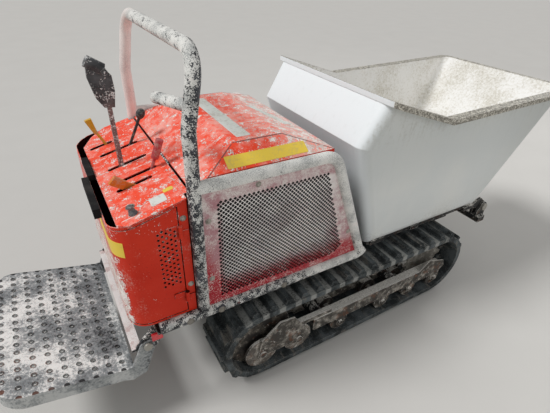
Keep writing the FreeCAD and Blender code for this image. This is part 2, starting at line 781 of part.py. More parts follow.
for sign in (LEFT, RIGHT):
    solids.append(side_plate(sign, [
        (0, S.rail_low), (0, 186), (S.ram_x - 16, S.ram_z - 26), (S.ram_x + 20, S.ram_z - 22),
        (S.ram_x + 28, S.ram_z + 8), (S.ram_x + 8, S.ram_z + 28), (S.ram_x - 40, S.rail_low)],
        S.eye_half + S.slack, S.eye_half + S.slack + 12, [(S.ram_x, S.ram_z, S.ram_pin_r)]))
node("chassis_frame", fused(solids))
PIN_Y = S.eye_half + S.slack + 12
pivot_pins = [cross_rod(S.ram_x, S.ram_z, S.ram_pin_r, -PIN_Y - 8, PIN_Y + 8)]

# Drive unit between the rails with its axle housing out to both sprockets.
drive_y = TRACK_Y - S.sprocket_thick / 2
node("drive_unit", fused([
    box((S.sprocket_x - 70, -S.rail_in, 110), (S.sprocket_x + 75, S.rail_in, 268)),
    cross_rod(S.sprocket_x, AXLE_Z, 55, -drive_y, drive_y),
    cross_rod(S.sprocket_x, AXLE_Z, 62, -S.rail_in - 26, S.rail_in + 26)]))

# Front cross bar with the clevis brackets of the hopper pivot.
solids = [box((S.rail_front, -S.side_y, S.bar_low),
              (S.rail_front + S.bar_long, S.side_y, S.bar_low + S.bar_high))]
EAR_IN = S.ear_out - S.ear_thick
clevis = ((EAR_IN - S.ear_gap - S.bracket_thick, EAR_IN - S.ear_gap),
          (S.ear_out + S.ear_gap, S.ear_out + S.ear_gap + S.bracket_thick))
for sign in (LEFT, RIGHT):
    for near, far in clevis:
        solids.append(side_plate(sign, [
            (S.rail_front, S.bar_low), (S.pivot_x + 24, S.bar_low), (S.pivot_x + 27, S.pivot_z),
            (S.pivot_x + 19, S.pivot_z + 19), (S.pivot_x, S.pivot_z + 27),
            (S.pivot_x - 19, S.pivot_z + 19), (S.pivot_x - 27, S.pivot_z),
            (S.rail_front, S.bar_low + 60)],
            near, far, [(S.pivot_x, S.pivot_z, S.pin_r)]))
bar = fused(solids)
node("front_cross_bar", cut(bar, [
    rod("Z", (S.rail_front + S.bar_long / 2, sign * 230, S.bar_low - 1), S.tie_hole_r,
        S.bar_high + 2) for sign in (LEFT, RIGHT)]))
for sign in (LEFT, RIGHT):
    near = clevis[0][0]
    far = clevis[1][1]
    pivot_pins.append(fused([
        side_rod(sign, S.pivot_x, S.pivot_z, S.pin_r, near, far + 1),
        side_rod(sign, S.pivot_x, S.pivot_z, 19, far, far + 9)]))

# Engine deck on three bearers, with the step brackets at its rear end.
DECK_TOP = S.deck_low + S.deck_thick
solids = [box((S.deck_rear, -S.side_y, S.deck_low), (S.deck_front, S.side_y, DECK_TOP))]
for x in (-740, -480, -140):
    solids.append(box((x, -S.side_y + 40, RAIL_TOP + 27), (x + 40, S.side_y - 40, S.deck_low)))
    solids.append(box((x, -RAIL_OUT, RAIL_TOP), (x + 40, RAIL_OUT, S.deck_low)))
node("engine_deck", fused(solids))
STEP_EAR_IN = S.step_half - S.step_wall
solids = []
for sign in (LEFT, RIGHT):
    solids.append(side_plate(sign, [
        (S.step_pivot_x - 40, S.step_pivot_z - 16), (S.step_pivot_x, S.step_pivot_z - 26),
        (S.step_pivot_x + 30, S.step_pivot_z - 22), (-742, S.deck_low - 30), (-742, S.deck_low),
        (S.deck_rear, S.deck_low), (S.step_pivot_x - 40, S.step_pivot_z - 6)],
        STEP_EAR_IN - S.ear_gap - S.step_bracket, STEP_EAR_IN - S.ear_gap,
        [(S.step_pivot_x, S.step_pivot_z, S.step_pin_r)]))
bar_half = STEP_EAR_IN - S.ear_gap
solids.append(box((S.step_pivot_x - 53, -bar_half, S.step_pivot_z - 14),
                  (S.step_pivot_x - 21, bar_half, S.step_pivot_z - 8)))
node("step_brackets", fused(solids))
for sign in (LEFT, RIGHT):
    near = STEP_EAR_IN - S.ear_gap - S.step_bracket
    pivot_pins.append(fused([
        side_rod(sign, S.step_pivot_x, S.step_pivot_z, S.step_pin_r, near - 6, S.step_half + 3),
        side_rod(sign, S.step_pivot_x, S.step_pivot_z, 15, S.step_half + 2, S.step_half + 10)]))
node("pivot_pins", fused(pivot_pins))

# Rubber pads that carry the hopper at rest.
pads = []
for sign in (LEFT, RIGHT):
    pads.append(side_box(sign, (190, 250), (S.rail_in, RAIL_OUT),
                         (RAIL_TOP, S.tub_low - S.cradle_high - S.seat_gap)))
node("hopper_rest_pads", fused(pads))

# Guard tubes
LEAN_X = S.hoop_x + S.hoop_lean
hoop_points = [
    (S.hoop_x, -S.side_y, S.foot_rail_z), (S.hoop_x, -S.side_y, S.hoop_kink),
    (LEAN_X, -S.side_y, S.hoop_top), (LEAN_X, S.side_y, S.hoop_top),
    (S.hoop_x, S.side_y, S.hoop_kink), (S.hoop_x, S.side_y, S.foot_rail_z)]
hoop_raw = bent_tube(hoop_points, S.hoop_bend, S.tube_r)
rails_raw = {}
for side, sign in SIDES:
    y = sign * S.side_y
    rail = straight_tube((S.foot_rail_rear, y, S.foot_rail_z), (S.foot_rail_front, y, S.foot_rail_z),
                         S.foot_rail_r)
    front = float(S.foot_rail_front)
    bevel = prism([(front - 55, y - 30, 418), (front + 1, y - 30, 418), (front + 1, y - 30, 452)],
                  (0, 60, 0))
    rail = rail.cut(bevel)
    rails_raw[side] = rail
    upper = bent_tube([
        (S.hoop_x, y, S.guard_z), (S.guard_front_x, y, S.guard_z),
        (S.guard_foot_x, y, S.foot_rail_z)], S.guard_bend, S.tube_r)
    node(f"guard_frame_{side}", shaped(rail.fuse(upper).cut(hoop_raw)))
node("operator_hoop", shaped(hoop_raw.cut(rails_raw["left"]).cut(rails_raw["right"])))

grab_start = (S.hoop_x + 11, -S.side_y, 1156)
grab_end = (-640, -150, 1127)
grab = straight_tube(grab_start, grab_end, S.grab_r)
node("grab_bar", shaped(grab.cut(hoop_raw)))

# Perforated side panels, let into the guard tubes.
MESH_FIELD = [(-556, 482), (-80, 482), (-34, 510), (-140, 873), (-556, 873)]


def inside(outline, x, z, margin):
    for (ax, az), (bx, bz) in zip(outline, outline[1:] + outline[:1]):
        across = (bx - ax) * (z - az) - (bz - az) * (x - ax)
        if across / math.hypot(bx - ax, bz - az) < margin:
            return False
    return True


def diamonds():
    pitch = float(S.mesh_pitch)
    half = float(S.mesh_open)
    openings = []
    for row in range(int((873 - 482) / (pitch / 2))):
        z = 482 + half + row * pitch / 2
        for column in range(12):
            x = -556 + half + (column + 0.5 * (row % 2)) * pitch
            if inside(MESH_FIELD, x, z, half - 1):
                openings.append([(x - half, z), (x, z - half), (x + half, z), (x, z + half)])
    return openings


# A flat sheet standing fore and aft, with openings.
def open_sheet(outline, openings, low, thick):
    wires = []
    for corners in [outline] + openings:
        points = [Vector(float(x), float(low), float(z)) for x, z in corners]
        wires.append(Part.makePolygon(points + points[:1]))
    return Part.makeFace(wires, "Part::FaceMakerBullseye").extrude(Vector(0, float(thick), 0))


for side, sign in SIDES:
    panel = open_sheet([
        (S.hoop_x, S.foot_rail_z), (S.guard_foot_x, S.foot_rail_z), (-105, 880), (-168, S.guard_z),
        (S.hoop_x, S.guard_z)], diamonds(), sign * S.side_y - S.mesh_thick / 2, S.mesh_thick)
    frame = [nodes[f"guard_frame_{side}"], nodes["operator_hoop"]]
    node(f"mesh_panel_{side}", cut(shaped(panel), frame))

# Engine and the front wall of its bay
node("engine_block", box((S.engine_rear, -S.engine_half, DECK_TOP),
                         (S.engine_front, S.engine_half, DECK_TOP + S.engine_high)))
slant = [(S.guard_foot_x + 8, DECK_TOP), (S.guard_foot_x + 8 + S.sheet_thick, DECK_TOP),
         (S.guard_front_x + 12 + S.sheet_thick, S.panel_top_z),
         (S.guard_front_x + 12, S.panel_top_z)]
front_panel = padded("XZ", slant, -S.side_y, S.side_y)
node("bay_front_panel", cut(front_panel, [nodes["guard_frame_left"], nodes["guard_frame_right"]]))

# Hood lid: a hipped sheet shell, hinged along its front edge.
side_outline = [
    (S.hood_rear, S.hood_skirt), (S.hood_front, S.hood_skirt), (S.hood_front, S.hood_eave),
    (S.hood_ridge_front, S.hood_top), (S.hood_ridge_rear, S.hood_top), (S.hood_rear, S.hood_rear_z)]
front_outline = [
    (-S.hood_half, S.hood_skirt), (S.hood_half, S.hood_skirt), (S.hood_half, S.hood_eave),
    (S.hood_top_half, S.hood_top), (-S.hood_top_half, S.hood_top), (-S.hood_half, S.hood_eave)]
outer = common([padded("XZ", side_outline, -S.hood_half, S.hood_half),
                padded("YZ", front_outline, S.hood_rear, S.hood_front)])
sheet_t = float(S.sheet_thick)


def numbers(outline):
    return [(float(a), float(b)) for a, b in outline]


def open_below(outline, by):
    inner = inset(outline, by)
    return [(a, b - 3 * by) if i < 2 else (a, b) for i, (a, b) in enumerate(inner)]


inner = side_prism(open_below(numbers(side_outline), sheet_t), 600).common(
    front_prism(open_below(numbers(front_outline), sheet_t), -2000, 2000))
hinge_y = ((180, 200), (200.3, 220))
hood_straps = []
hood_bores = []
pins = []
for sign in (LEFT, RIGHT):
    low, high = span(sign, *hinge_y[1])
    hood_straps.append(rod("Y", (S.hood_hinge_x, low, S.hood_hinge_z), S.knuckle_r, high - low))
    hood_straps.append(box((S.hood_front - 2, low, S.hood_hinge_z - 3),
                           (S.hood_hinge_x, high, S.hood_hinge_z + 1)))
    hood_bores.append(rod("Y", (S.hood_hinge_x, low - 1, S.hood_hinge_z),
                          S.hinge_pin_r + S.pin_gap, high - low + 2))
    low, high = span(sign, *hinge_y[0])
    leaf = box((S.hood_front + 2, low, S.panel_top_z), (S.hood_hinge_x, high, S.panel_top_z + 3))
    post = box((S.hood_hinge_x - 4, low, S.panel_top_z), (S.hood_hinge_x + 4, high, S.hood_hinge_z))
    knuckle = rod("Y", (S.hood_hinge_x, low, S.hood_hinge_z), S.knuckle_r, high - low)
    low, high = span(sign, hinge_y[0][0], hinge_y[1][1])
    pin = rod("Y", (S.hood_hinge_x, low, S.hood_hinge_z), S.hinge_pin_r, high - low)
    pins.append(fused([leaf, post, knuckle, pin]))
lid = cut(outer, [shaped(inner)])
node("hood", cut(fused([lid] + hood_straps), hood_bores))

# Console and cabinet
slope = (S.console_front_z - S.console_rear_z) / (S.console_front - S.console_rear)


def console_z(x):
    return S.console_rear_z + slope * (size(x) - S.console_rear)


plate_outline = [
    (S.console_rear - 14, console_z(S.console_rear - 14) - S.console_thick),
    (S.console_front, console_z(S.console_front) - S.console_thick),
    (S.console_front, console_z(S.console_front)),
    (S.console_rear, console_z(S.console_rear))]
rear = S.console_rear
plan_outline = [
    (S.console_front, -S.console_half), (S.console_front, S.console_half),
    (rear + 95, S.console_half), (rear + 38, S.console_half - 44), (rear, S.console_half - 108),
    (rear, -S.console_half + S.console_chamfer), (rear + S.console_chamfer, -S.console_half)]
console_solid = common([
    padded("XZ", plate_outline, -S.console_half, S.console_half),
    padded("XY", plan_outline, 800, 950)])
SLOTS = (
    # rear x, front x, y
    (-814, -733, 195),
    (-794, -660, 112),
    (-790, -661, -8),
    (-800, -640.1, -107),
    (-794, -683, -155),
)
slots = []
for x0, x1, y in SLOTS:
    x1 = max(x0 + 40, min(x1, -655))
    slot_r = S.slot_wide / 2
    slots.append(box((x0 + slot_r, y - slot_r, 800), (x1 - slot_r, y + slot_r, 950)))
    for x in (x0 + slot_r, x1 - slot_r):
        slots.append(rod("Z", (x, y, 800), slot_r, 150))
slots.append(rod("Z", (-779, -262, 800), 12, 150))
console = node("console_top", cut(console_solid, slots))

cabinet_plan = [
    (S.cabinet_front, -S.cabinet_half), (S.cabinet_front, S.cabinet_half),
    (S.cabinet_rear, S.cabinet_half), (S.cabinet_rear, -S.cabinet_half)]
below_console = [
    (S.cabinet_rear, S.cabinet_low), (S.cabinet_front, S.cabinet_low),
    (S.cabinet_front, console_z(S.cabinet_front) - S.console_thick),
    (S.cabinet_rear, console_z(S.cabinet_rear) - S.console_thick)]


def at_rear(middle):
    return middle.x < float(S.cabinet_rear) + 10 + float(S.sheet_thick)


cabinet_outer = common([
    rounded(padded("XY", cabinet_plan, S.cabinet_low, 920), "z", S.cabinet_corner, at_rear),
    padded("XZ", below_console, -S.cabinet_half, S.cabinet_half)])
inner_plan = [
    (S.cabinet_front - S.sheet_thick, -S.cabinet_half + S.sheet_thick),
    (S.cabinet_front - S.sheet_thick, S.cabinet_half - S.sheet_thick),
    (S.cabinet_rear + S.sheet_thick, S.cabinet_half - S.sheet_thick),
    (S.cabinet_rear + S.sheet_thick, -S.cabinet_half + S.sheet_thick)]
cabinet_inner = rounded(padded("XY", inner_plan, S.cabinet_low + S.sheet_thick, 940), "z",
                        S.cabinet_corner - S.sheet_thick, at_rear)
shell = cut(cabinet_outer, [cabinet_inner])


# Region of the side door, grown or shrunk by the gap round it.
def door_region(by):
    return padded("XZ", [
        (S.cabinet_rear - 20, S.door_low - by), (S.door_front + by, S.door_low - by),
        (S.door_front + by, console_z(S.door_front) - 14 + by),
        (S.cabinet_rear - 20, console_z(S.cabinet_rear - 20) - 14 + by)],
        -S.cabinet_half - 20, -S.door_rear_y + by)


feet = []
for x in (S.cabinet_rear + 80, S.cabinet_front - 40):
    feet.append(box((x, -280, DECK_TOP), (x + 30, 280, S.cabinet_low)))
node("cabinet_shell", fused([cut(shell, [door_region(size(0))])] + feet))

door_leaf = common([shell, door_region(-S.door_gap)])
HINGE_Y = -S.cabinet_half - S.knuckle_r
hinge_z = ((520, 540), (540.3, 560), (775, 795), (795.3, 815))
door_parts = [door_leaf]
door_bores = []
hinge_parts = []
for i, (low, high) in enumerate(hinge_z):
    knuckle = rod("Z", (S.door_front, HINGE_Y, low), S.knuckle_r, size(high) - size(low))
    if i % 2:
        strap = box((S.door_front - 40, -S.cabinet_half - 3, low), (S.door_front, -S.cabinet_half, high))
        door_parts += [knuckle, strap]
        door_bores.append(rod("Z", (S.door_front, HINGE_Y, low - 1), S.hinge_pin_r + S.pin_gap,
                              size(high) - size(low) + 2))
    else:
        strap = box((S.door_front, -S.cabinet_half - 3, low), (S.door_front + 26, -S.cabinet_half, high))
        pin = rod("Z", (S.door_front, HINGE_Y, low), S.hinge_pin_r, 40)
        hinge_parts.append(fused([knuckle, strap, pin]))
vents = []
for column in range(5):
    for row in range(12):
        x = -732 + column * float(S.vent_column)
        z = 602 + (row + 0.5 * (column % 2)) * float(S.vent_pitch)
        r = float(S.vent_r)
        corners = [(x + r * math.cos(a), -float(S.cabinet_half) - 5, z + r * math.sin(a))
                   for a in (math.radians(60 * k + 30) for k in range(6))]
        vents.append(prism(corners, (0, 12, 0)))
door_bores.append(shaped(Part.makeCompound(vents)))
node("cabinet_door", cut(fused(door_parts), door_bores))
node("door_hinges", fused(hinge_parts))
node("hood_hinges", fused(pins))

# Levers on one shaft under the console
shaft_end = S.cabinet_half - S.sheet_thick
node("lever_shaft", cross_rod(S.lever_shaft_x, S.lever_shaft_z, S.lever_shaft_r,
                              -shaft_end, shaft_end))


def lever(name, y, points, radius, extras):
    shaft = straight_tube((S.lever_shaft_x, y - 40, S.lever_shaft_z),
                          (S.lever_shaft_x, y + 40, S.lever_shaft_z), S.lever_shaft_r)
    hub = straight_tube((S.lever_shaft_x, y - 9, S.lever_shaft_z),
                        (S.lever_shaft_x, y + 9, S.lever_shaft_z), 18)
    path = [(float(S.lever_shaft_x), float(y), float(S.lever_shaft_z))] + points
    if len(points) > 1:
        stem = bent_tube(path, 3 * radius, radius)
    else:
        stem = straight_tube(*path, radius)
    node(name, shaped(hub.fuse([stem] + extras).cut(shaft)))


def knob(foot, tip, radius):
    along = Vector(*tip) - Vector(*foot)
    long = along.Length
    profile = [(0, 0), (0.5 * radius, 0), (0.9 * radius, 0.25 * long), (radius, 0.55 * long),
               (0.8 * radius, 0.88 * long), (0.4 * radius, long), (0, long)]
    outline = [Vector(r, 0, h) for r, h in profile]
    turned = Part.Face(Part.makePolygon(outline + [outline[0]])).revolve(
        Vector(0, 0, 0), Vector(0, 0, 1), 360)
    turned.Placement = FreeCAD.Placement(Vector(*foot), FreeCAD.Rotation(Vector(0, 0, 1), along))
    return turned


def blade(points, y, thick):
    corners = [(x, y - thick / 2, z) for x, z in points]
    return prism(corners, (0, thick, 0))


lever("lever_yellow", 195, [(-783, 195, 924)], float(S.lever_r), [
    blade([(-788, 914), (-776, 919), (-788, 972), (-811, 966)], 195, 14)])
lever("lever_tall_grip", -8, [(-744, -8, 866)], 5.0, [
    blade([(-753, 858), (-737, 858), (-741, 1080), (-754, 1080)], -8, 8),
    blade([(-762, 1072), (-732, 1069), (-724, 1119), (-726, 1163), (-745, 1186), (-790, 1212),
           (-793, 1160), (-780, 1101)], -8, 14),
    straight_tube((-789, -8, 1208), (-746, -8, 1181), 17),
    straight_tube((-745, -26, 1176), (-745, 10, 1176), 9)])
lever("lever_dark_knob", 112, [(-687, 112, 887), (-640, 105, 988)], float(S.lever_r), [
    knob((-644, 105, 980), (-630, 103, 1012), 15.5)])
lever("lever_red_knob", -107, [(-670, -107, 892), (-646, -114, 960)], float(S.lever_r), [
    straight_tube((-658, -110, 926), (-637, -117, 986), 12)])
lever("lever_orange", -155, [(-724, -155, 862)], float(S.lever_r), [
    blade([(-730, 850), (-716, 862), (-762, 888), (-776, 870)], -155, 7),
    blade([(-775, 867), (-760, 889), (-791, 914), (-811, 893)], -155, 14)])

# Foam bars on the top edge of the cabinet's rear wall, one outside it and one on it.
foam_top = S.foam_low + S.foam_high
wall_top = console_z(S.cabinet_rear + S.sheet_thick) - S.console_thick
node("handle_bar", fused([
    box((S.cabinet_rear - S.foam_deep, -228, S.foam_low), (S.cabinet_rear, -20, foam_top)),
    box((S.cabinet_rear, -14, wall_top), (S.cabinet_rear + S.foam_deep, 128, foam_top))]))

# Red reflectors at the rear ends of the lower rails
solids = []
for sign in (LEFT, RIGHT):
    solids.append(side_box(sign, (S.foot_rail_rear - 30, S.foot_rail_rear + 6), (330, 338),
                           (384, S.deck_low)))
node("reflectors", fused(solids))

# Fold-up step: a plate with a turned-down rim and two ears.
STEP_X = S.step_pivot_x
STEP_Z = S.step_pivot_z
top_outline = [
    (STEP_X - 58, STEP_Z - 83 - S.step_flange), (STEP_X - 58, STEP_Z - 83),
    (STEP_X - S.step_far, STEP_Z + 9), (STEP_X - S.step_far, STEP_Z + 9 - S.step_flange)]
top_outline = top_outline[::-1]
step_plan = [
    (STEP_X - S.step_far, -S.step_half), (STEP_X - 40, -S.step_half), (STEP_X - 40, S.step_half),
    (STEP_X - S.step_far, S.step_half)]


def step_rear(middle):
    return middle.x < -1100


step_outer = common([
    padded("XZ", top_outline, -S.step_half, S.step_half),
    rounded(padded("XY", step_plan, 150, 400), "z", S.step_corner, step_rear)])
wall = S.step_wall
inner_outline = [
    (STEP_X - 20, STEP_Z - 83 - S.step_flange - 40), (STEP_X - 20, STEP_Z - 92 - wall),
    (STEP_X - S.step_far - 20, STEP_Z + 13.5 - wall), (STEP_X - S.step_far - 20, 150)]
inner_outline = inner_outline[::-1]
inner_step_plan = [
    (STEP_X - S.step_far + wall, -STEP_EAR_IN), (STEP_X, -STEP_EAR_IN), (STEP_X, STEP_EAR_IN),
    (STEP_X - S.step_far + wall, STEP_EAR_IN)]
step_inner = common([
    padded("XZ", inner_outline, -S.step_half, S.step_half),
    rounded(padded("XY", inner_step_plan, 100, 420), "z", S.step_corner - wall, step_rear)])
ears = []
for sign in (LEFT, RIGHT):
    ears.append(side_plate(sign, [
        (STEP_X - 71, STEP_Z - 142), (STEP_X - 20, STEP_Z - 128), (STEP_X - 10, STEP_Z - 100),
        (STEP_X + 25, STEP_Z - 8), (STEP_X + 18, STEP_Z + 18), (STEP_X - 6, STEP_Z + 25),
        (STEP_X - 24, STEP_Z + 10), (STEP_X - 62, STEP_Z - 76), (STEP_X - 110, STEP_Z - 80),
        (STEP_X - 110, STEP_Z - 122)],
        STEP_EAR_IN, S.step_half, [(STEP_X, STEP_Z, S.step_pin_r + S.pin_gap)]))
grip_holes = []
for row in range(9):
    for column in range(16):
        x = float(STEP_X) - 92 - row * float(S.grip_run)
        y = (column - 7.5) * float(S.grip_across)
        if row == 8 and abs(y) > 235:
            continue
        r = float(S.grip_hole_r)
        corners = [(x + r * math.cos(a), y + r * math.sin(a), 200)
                   for a in (math.radians(60 * k) for k in range(6))]
        grip_holes.append(prism(corners, (0, 0, 180)))
deck = cut(step_outer, [step_inner, shaped(Part.makeCompound(grip_holes))])
node("step_deck", fused([deck] + ears))

# Hopper tub: one side outline crossed with one end outline, hollowed by the same pair moved in.
tub_side = [
    (S.tub_rear, S.tub_low), (S.tub_front, S.tub_low), (S.knee_x, S.knee_z), (S.nose_x, S.nose_z),
    (S.kink_x, S.kink_z), (S.lip_x, S.lip_z), (S.shoulder_x, S.shoulder_z)]
tub_end = [
    (-S.tub_low_half, S.tub_low), (S.tub_low_half, S.tub_low), (S.tub_top_half, S.lip_z + 9),
    (-S.tub_top_half, S.lip_z + 9)]
tub_block = common([padded("XZ", tub_side, -S.tub_top_half, S.tub_top_half),
                    padded("YZ", tub_end, S.shoulder_x - 50, S.rim_end + 50)])


# Side edges of the walls, but not those of the open top.
def wall_edge(middle, run):
    level = middle.z > float(S.kink_z) - 5 and abs(run.z) < abs(run.x) * 0.4
    return abs(middle.y) > 250 and abs(run.y) < 0.5 and not level


wall = float(S.tub_wall)
lift = 60.0
side_in = inset(numbers(tub_side), wall)
side_in[3] = (side_in[3][0] + lift * 328 / 513, side_in[3][1] + lift)
side_in[4] = (side_in[4][0], side_in[4][1] + lift)
side_in[5] = (side_in[5][0] + lift * 100 / 162, side_in[5][1] + lift)
end_in = inset(numbers(tub_end), wall)
end_in[2] = (end_in[2][0] + lift * 45 / 670, end_in[2][1] + lift)
end_in[3] = (end_in[3][0] - lift * 45 / 670, end_in[3][1] + lift)
cavity_block = shaped(side_prism(side_in, 600).common(front_prism(end_in, -400, 1700)))
hollow = filleted(cavity_block, S.tub_round - S.tub_wall, wall_edge)
shell = filleted(tub_block, S.tub_round, wall_edge)
rim_side = [
    (S.lip_x - S.rim_rear, S.lip_z + 4 - S.rim_high), (S.kink_x - 4, S.kink_z - S.rim_high),
    (S.rim_end, S.nose_z + 1 - S.rim_high), (S.rim_end, S.nose_z + 1), (S.kink_x, S.kink_z),
    (S.lip_x - S.rim_rear, S.lip_z + 4)]
rim_half = S.tub_half + S.rim_out
rim_plan = [
    (S.lip_x - S.rim_rear, -rim_half), (S.rim_end, -rim_half), (S.rim_end, rim_half),
    (S.lip_x - S.rim_rear, rim_half)]
rim = common([padded("XZ", rim_side, -rim_half, rim_half),
              rounded(padded("XY", rim_plan, 900, 1150), "z", 50)])
node("hopper_tub", cut(fused([shell, rim]), [hollow]))

# Steel cradle under the hopper with its pivot ears and the ears of the cylinder rod.
CRADLE_LOW = S.tub_low - S.cradle_high
solids = []
for sign in (LEFT, RIGHT):
    solids.append(side_box(sign, (168, 868), (250, 290), (CRADLE_LOW, S.tub_low)))
    solids.append(side_box(sign, (168, 868), (60, 92), (CRADLE_LOW, S.tub_low)))
    ear_near = S.eye_half + S.slack
    solids.append(side_box(sign, (585, 705), (ear_near, 62), (CRADLE_LOW + 8, S.tub_low)))
    solids.append(side_plate(sign, [
        (S.eye_x - 55, CRADLE_LOW + 8), (S.eye_x - 26, S.eye_z - 14), (S.eye_x - 12, S.eye_z - 26),
        (S.eye_x + 12, S.eye_z - 26), (S.eye_x + 26, S.eye_z - 14), (S.eye_x + 55, CRADLE_LOW + 8)],
        ear_near, ear_near + 10))
    solids.append(side_plate(sign, [
        (800, CRADLE_LOW), (890, CRADLE_LOW), (S.pivot_x - 26, S.pivot_z - 12),
        (S.pivot_x - 10, S.pivot_z - 27), (S.pivot_x + 14, S.pivot_z - 24),
        (S.pivot_x + 27, S.pivot_z), (S.pivot_x + 16, S.pivot_z + 22),
        (S.pivot_x - 20, S.pivot_z + 50), (S.knee_x - 16, S.tub_low + 22), (S.tub_front, S.tub_low),
        (800, S.tub_low)],
        EAR_IN, S.ear_out, [(S.pivot_x, S.pivot_z, S.pin_r + S.pin_gap)]))
for x0, x1 in ((180, 260), (430, 480), (820, 868)):
    solids.append(box((x0, -EAR_IN, CRADLE_LOW), (x1, EAR_IN, S.tub_low)))
node("hopper_cradle", cut(fused(solids), [tub_block]))

# Lift cylinder
dx = float(S.eye_x - S.ram_x)
dz = float(S.eye_z - S.ram_z)
ram_long = math.hypot(dx, dz)
ram_angle = math.degrees(math.atan2(dz, dx))


# Turns a solid built along +X from the cylinder's lower pivot.
def on_ram(solid):
    solid.rotate(Vector(0, 0, 0), Vector(0, 1, 0), -ram_angle)
    solid.translate(Vector(float(S.ram_x), 0, float(S.ram_z)))
    return shaped(solid)


eye_half = float(S.eye_half)
bore_r = float(S.ram_pin_r + S.pin_gap)
barrel_end = ram_long - 64
barrel = straight_tube((0, -eye_half, 0), (0, eye_half, 0), 26)
barrel = barrel.fuse(straight_tube((14, 0, 0), (60, 0, 0), 18))
barrel = barrel.fuse(straight_tube((50, 0, 0), (barrel_end, 0, 0), S.ram_r))
barrel = barrel.fuse(straight_tube((barrel_end - 46, 0, 0), (barrel_end, 0, 0), float(S.ram_r) + 5))
barrel = barrel.cut(straight_tube((0, -60, 0), (0, 60, 0), bore_r))
barrel = barrel.cut(straight_tube((80, 0, 0), (barrel_end + 1, 0, 0), float(S.rod_r + S.pin_gap)))
node("cylinder_barrel", on_ram(barrel))
piston = straight_tube((120, 0, 0), (ram_long - 12, 0, 0), S.rod_r)
piston = piston.fuse(straight_tube((ram_long, -eye_half, 0), (ram_long, eye_half, 0), 24))
node("cylinder_rod", on_ram(piston))


def report_and_export():
    doc.recompute()
    for thing in doc.Objects:
        if "Invalid" in thing.State or "Error" in thing.State:
            raise RuntimeError(f"{thing.Label}: {thing.State}")
    os.makedirs("parts", exist_ok=True)
    for name, thing in nodes.items():
        shape = thing.Shape
        if shape.isNull() or not shape.isValid() or not shape.Solids:
            raise RuntimeError(f"{name}: bad shape")
        shape.exportStep(f"parts/{name}.step")


report_and_export()
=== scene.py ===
import math
import random

import bmesh
import bpy
from bpy.props import FloatProperty, FloatVectorProperty, PointerProperty
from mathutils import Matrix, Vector
from mathutils.geometry import delaunay_2d_cdt


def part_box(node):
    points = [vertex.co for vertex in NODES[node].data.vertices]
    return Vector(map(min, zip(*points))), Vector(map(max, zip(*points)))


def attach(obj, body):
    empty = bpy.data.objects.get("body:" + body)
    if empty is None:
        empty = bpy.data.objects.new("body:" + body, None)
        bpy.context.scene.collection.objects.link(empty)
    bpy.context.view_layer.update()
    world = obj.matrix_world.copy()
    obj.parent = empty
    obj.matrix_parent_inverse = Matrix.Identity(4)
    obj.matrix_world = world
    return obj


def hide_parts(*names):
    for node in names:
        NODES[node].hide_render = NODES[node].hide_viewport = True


bl_info = {
    "name": "Site dumper finish",
    "version": (1, 0, 0),
    "blender": (4, 5, 0),
    "location": "View3D > Sidebar > Dumper",
    "description": "Finishes, fasteners, plates and stage of a tracked stand-on site dumper",
    "category": "Object",
}

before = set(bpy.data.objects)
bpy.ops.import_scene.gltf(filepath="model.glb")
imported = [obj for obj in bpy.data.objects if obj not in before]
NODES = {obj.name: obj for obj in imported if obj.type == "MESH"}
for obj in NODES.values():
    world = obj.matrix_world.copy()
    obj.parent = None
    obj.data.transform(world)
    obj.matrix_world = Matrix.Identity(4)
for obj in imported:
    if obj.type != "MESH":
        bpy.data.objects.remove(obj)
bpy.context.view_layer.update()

LEFT = 1
RIGHT = -1
SIDES = (("left", LEFT), ("right", RIGHT))


# Places and sizes of the dumper, in metres in the frame

# Side panels between their guard tubes: outlines and bolts in X and Z
SIDE_Y = 0.345
PANEL_OUTLINE = [(-0.612, 0.446), (0.052, 0.446), (-0.098, 0.868), (-0.122, 0.906), (-0.160, 0.918),
                 (-0.612, 0.918)]
HOLE_FIELD = [(-0.556, 0.484), (-0.085, 0.484), (-0.036, 0.512), (-0.142, 0.872), (-0.556, 0.872)]
HOLE_FLAT = 0.84  # share of a diamond's half width that is left when its tips are cut
PANEL_BOLTS = [(-0.582, 0.805), (-0.582, 0.578), (-0.415, 0.889), (-0.081, 0.800), (-0.014, 0.576)]
PANEL_FACE = 0.0015
RAIL_R = 0.021
RAIL_Z = 0.440
RAIL_BOLTS = (-0.673, -0.561, -0.310)
WASHER_SINK = 0.001

# Cabinet, its rounded rear corners, and the plate bent round one of them, its bends in degrees
CABINET_REAR = -0.853
CABINET_Y = 0.340
CABINET_CORNER = 0.070
CABINET_MIDDLE = (-0.745, 0.0, 0.65)
CABINET_BOLTS = [(-0.655, 0.836), (-0.652, 0.581)]
PLATE_LOW, PLATE_HIGH = 0.745, 0.796
PLATE_SPAN = (-0.12, -0.20)
PLATE_THICK = 0.0008
PLATE_BENDS = [180 + 7.5 * i for i in range(8)]

# Hood: its flat top, how fast the creases run out behind and before it, and the way up its side
HOOD_TOP_HALF = 0.240
HOOD_RIDGE_REAR, HOOD_RIDGE_FRONT = -0.450, -0.275
REAR_CREASE, FRONT_CREASE = 0.684, 0.473
SIDE_SLOPE = Vector((0, 0.078, 0.055)).normalized()

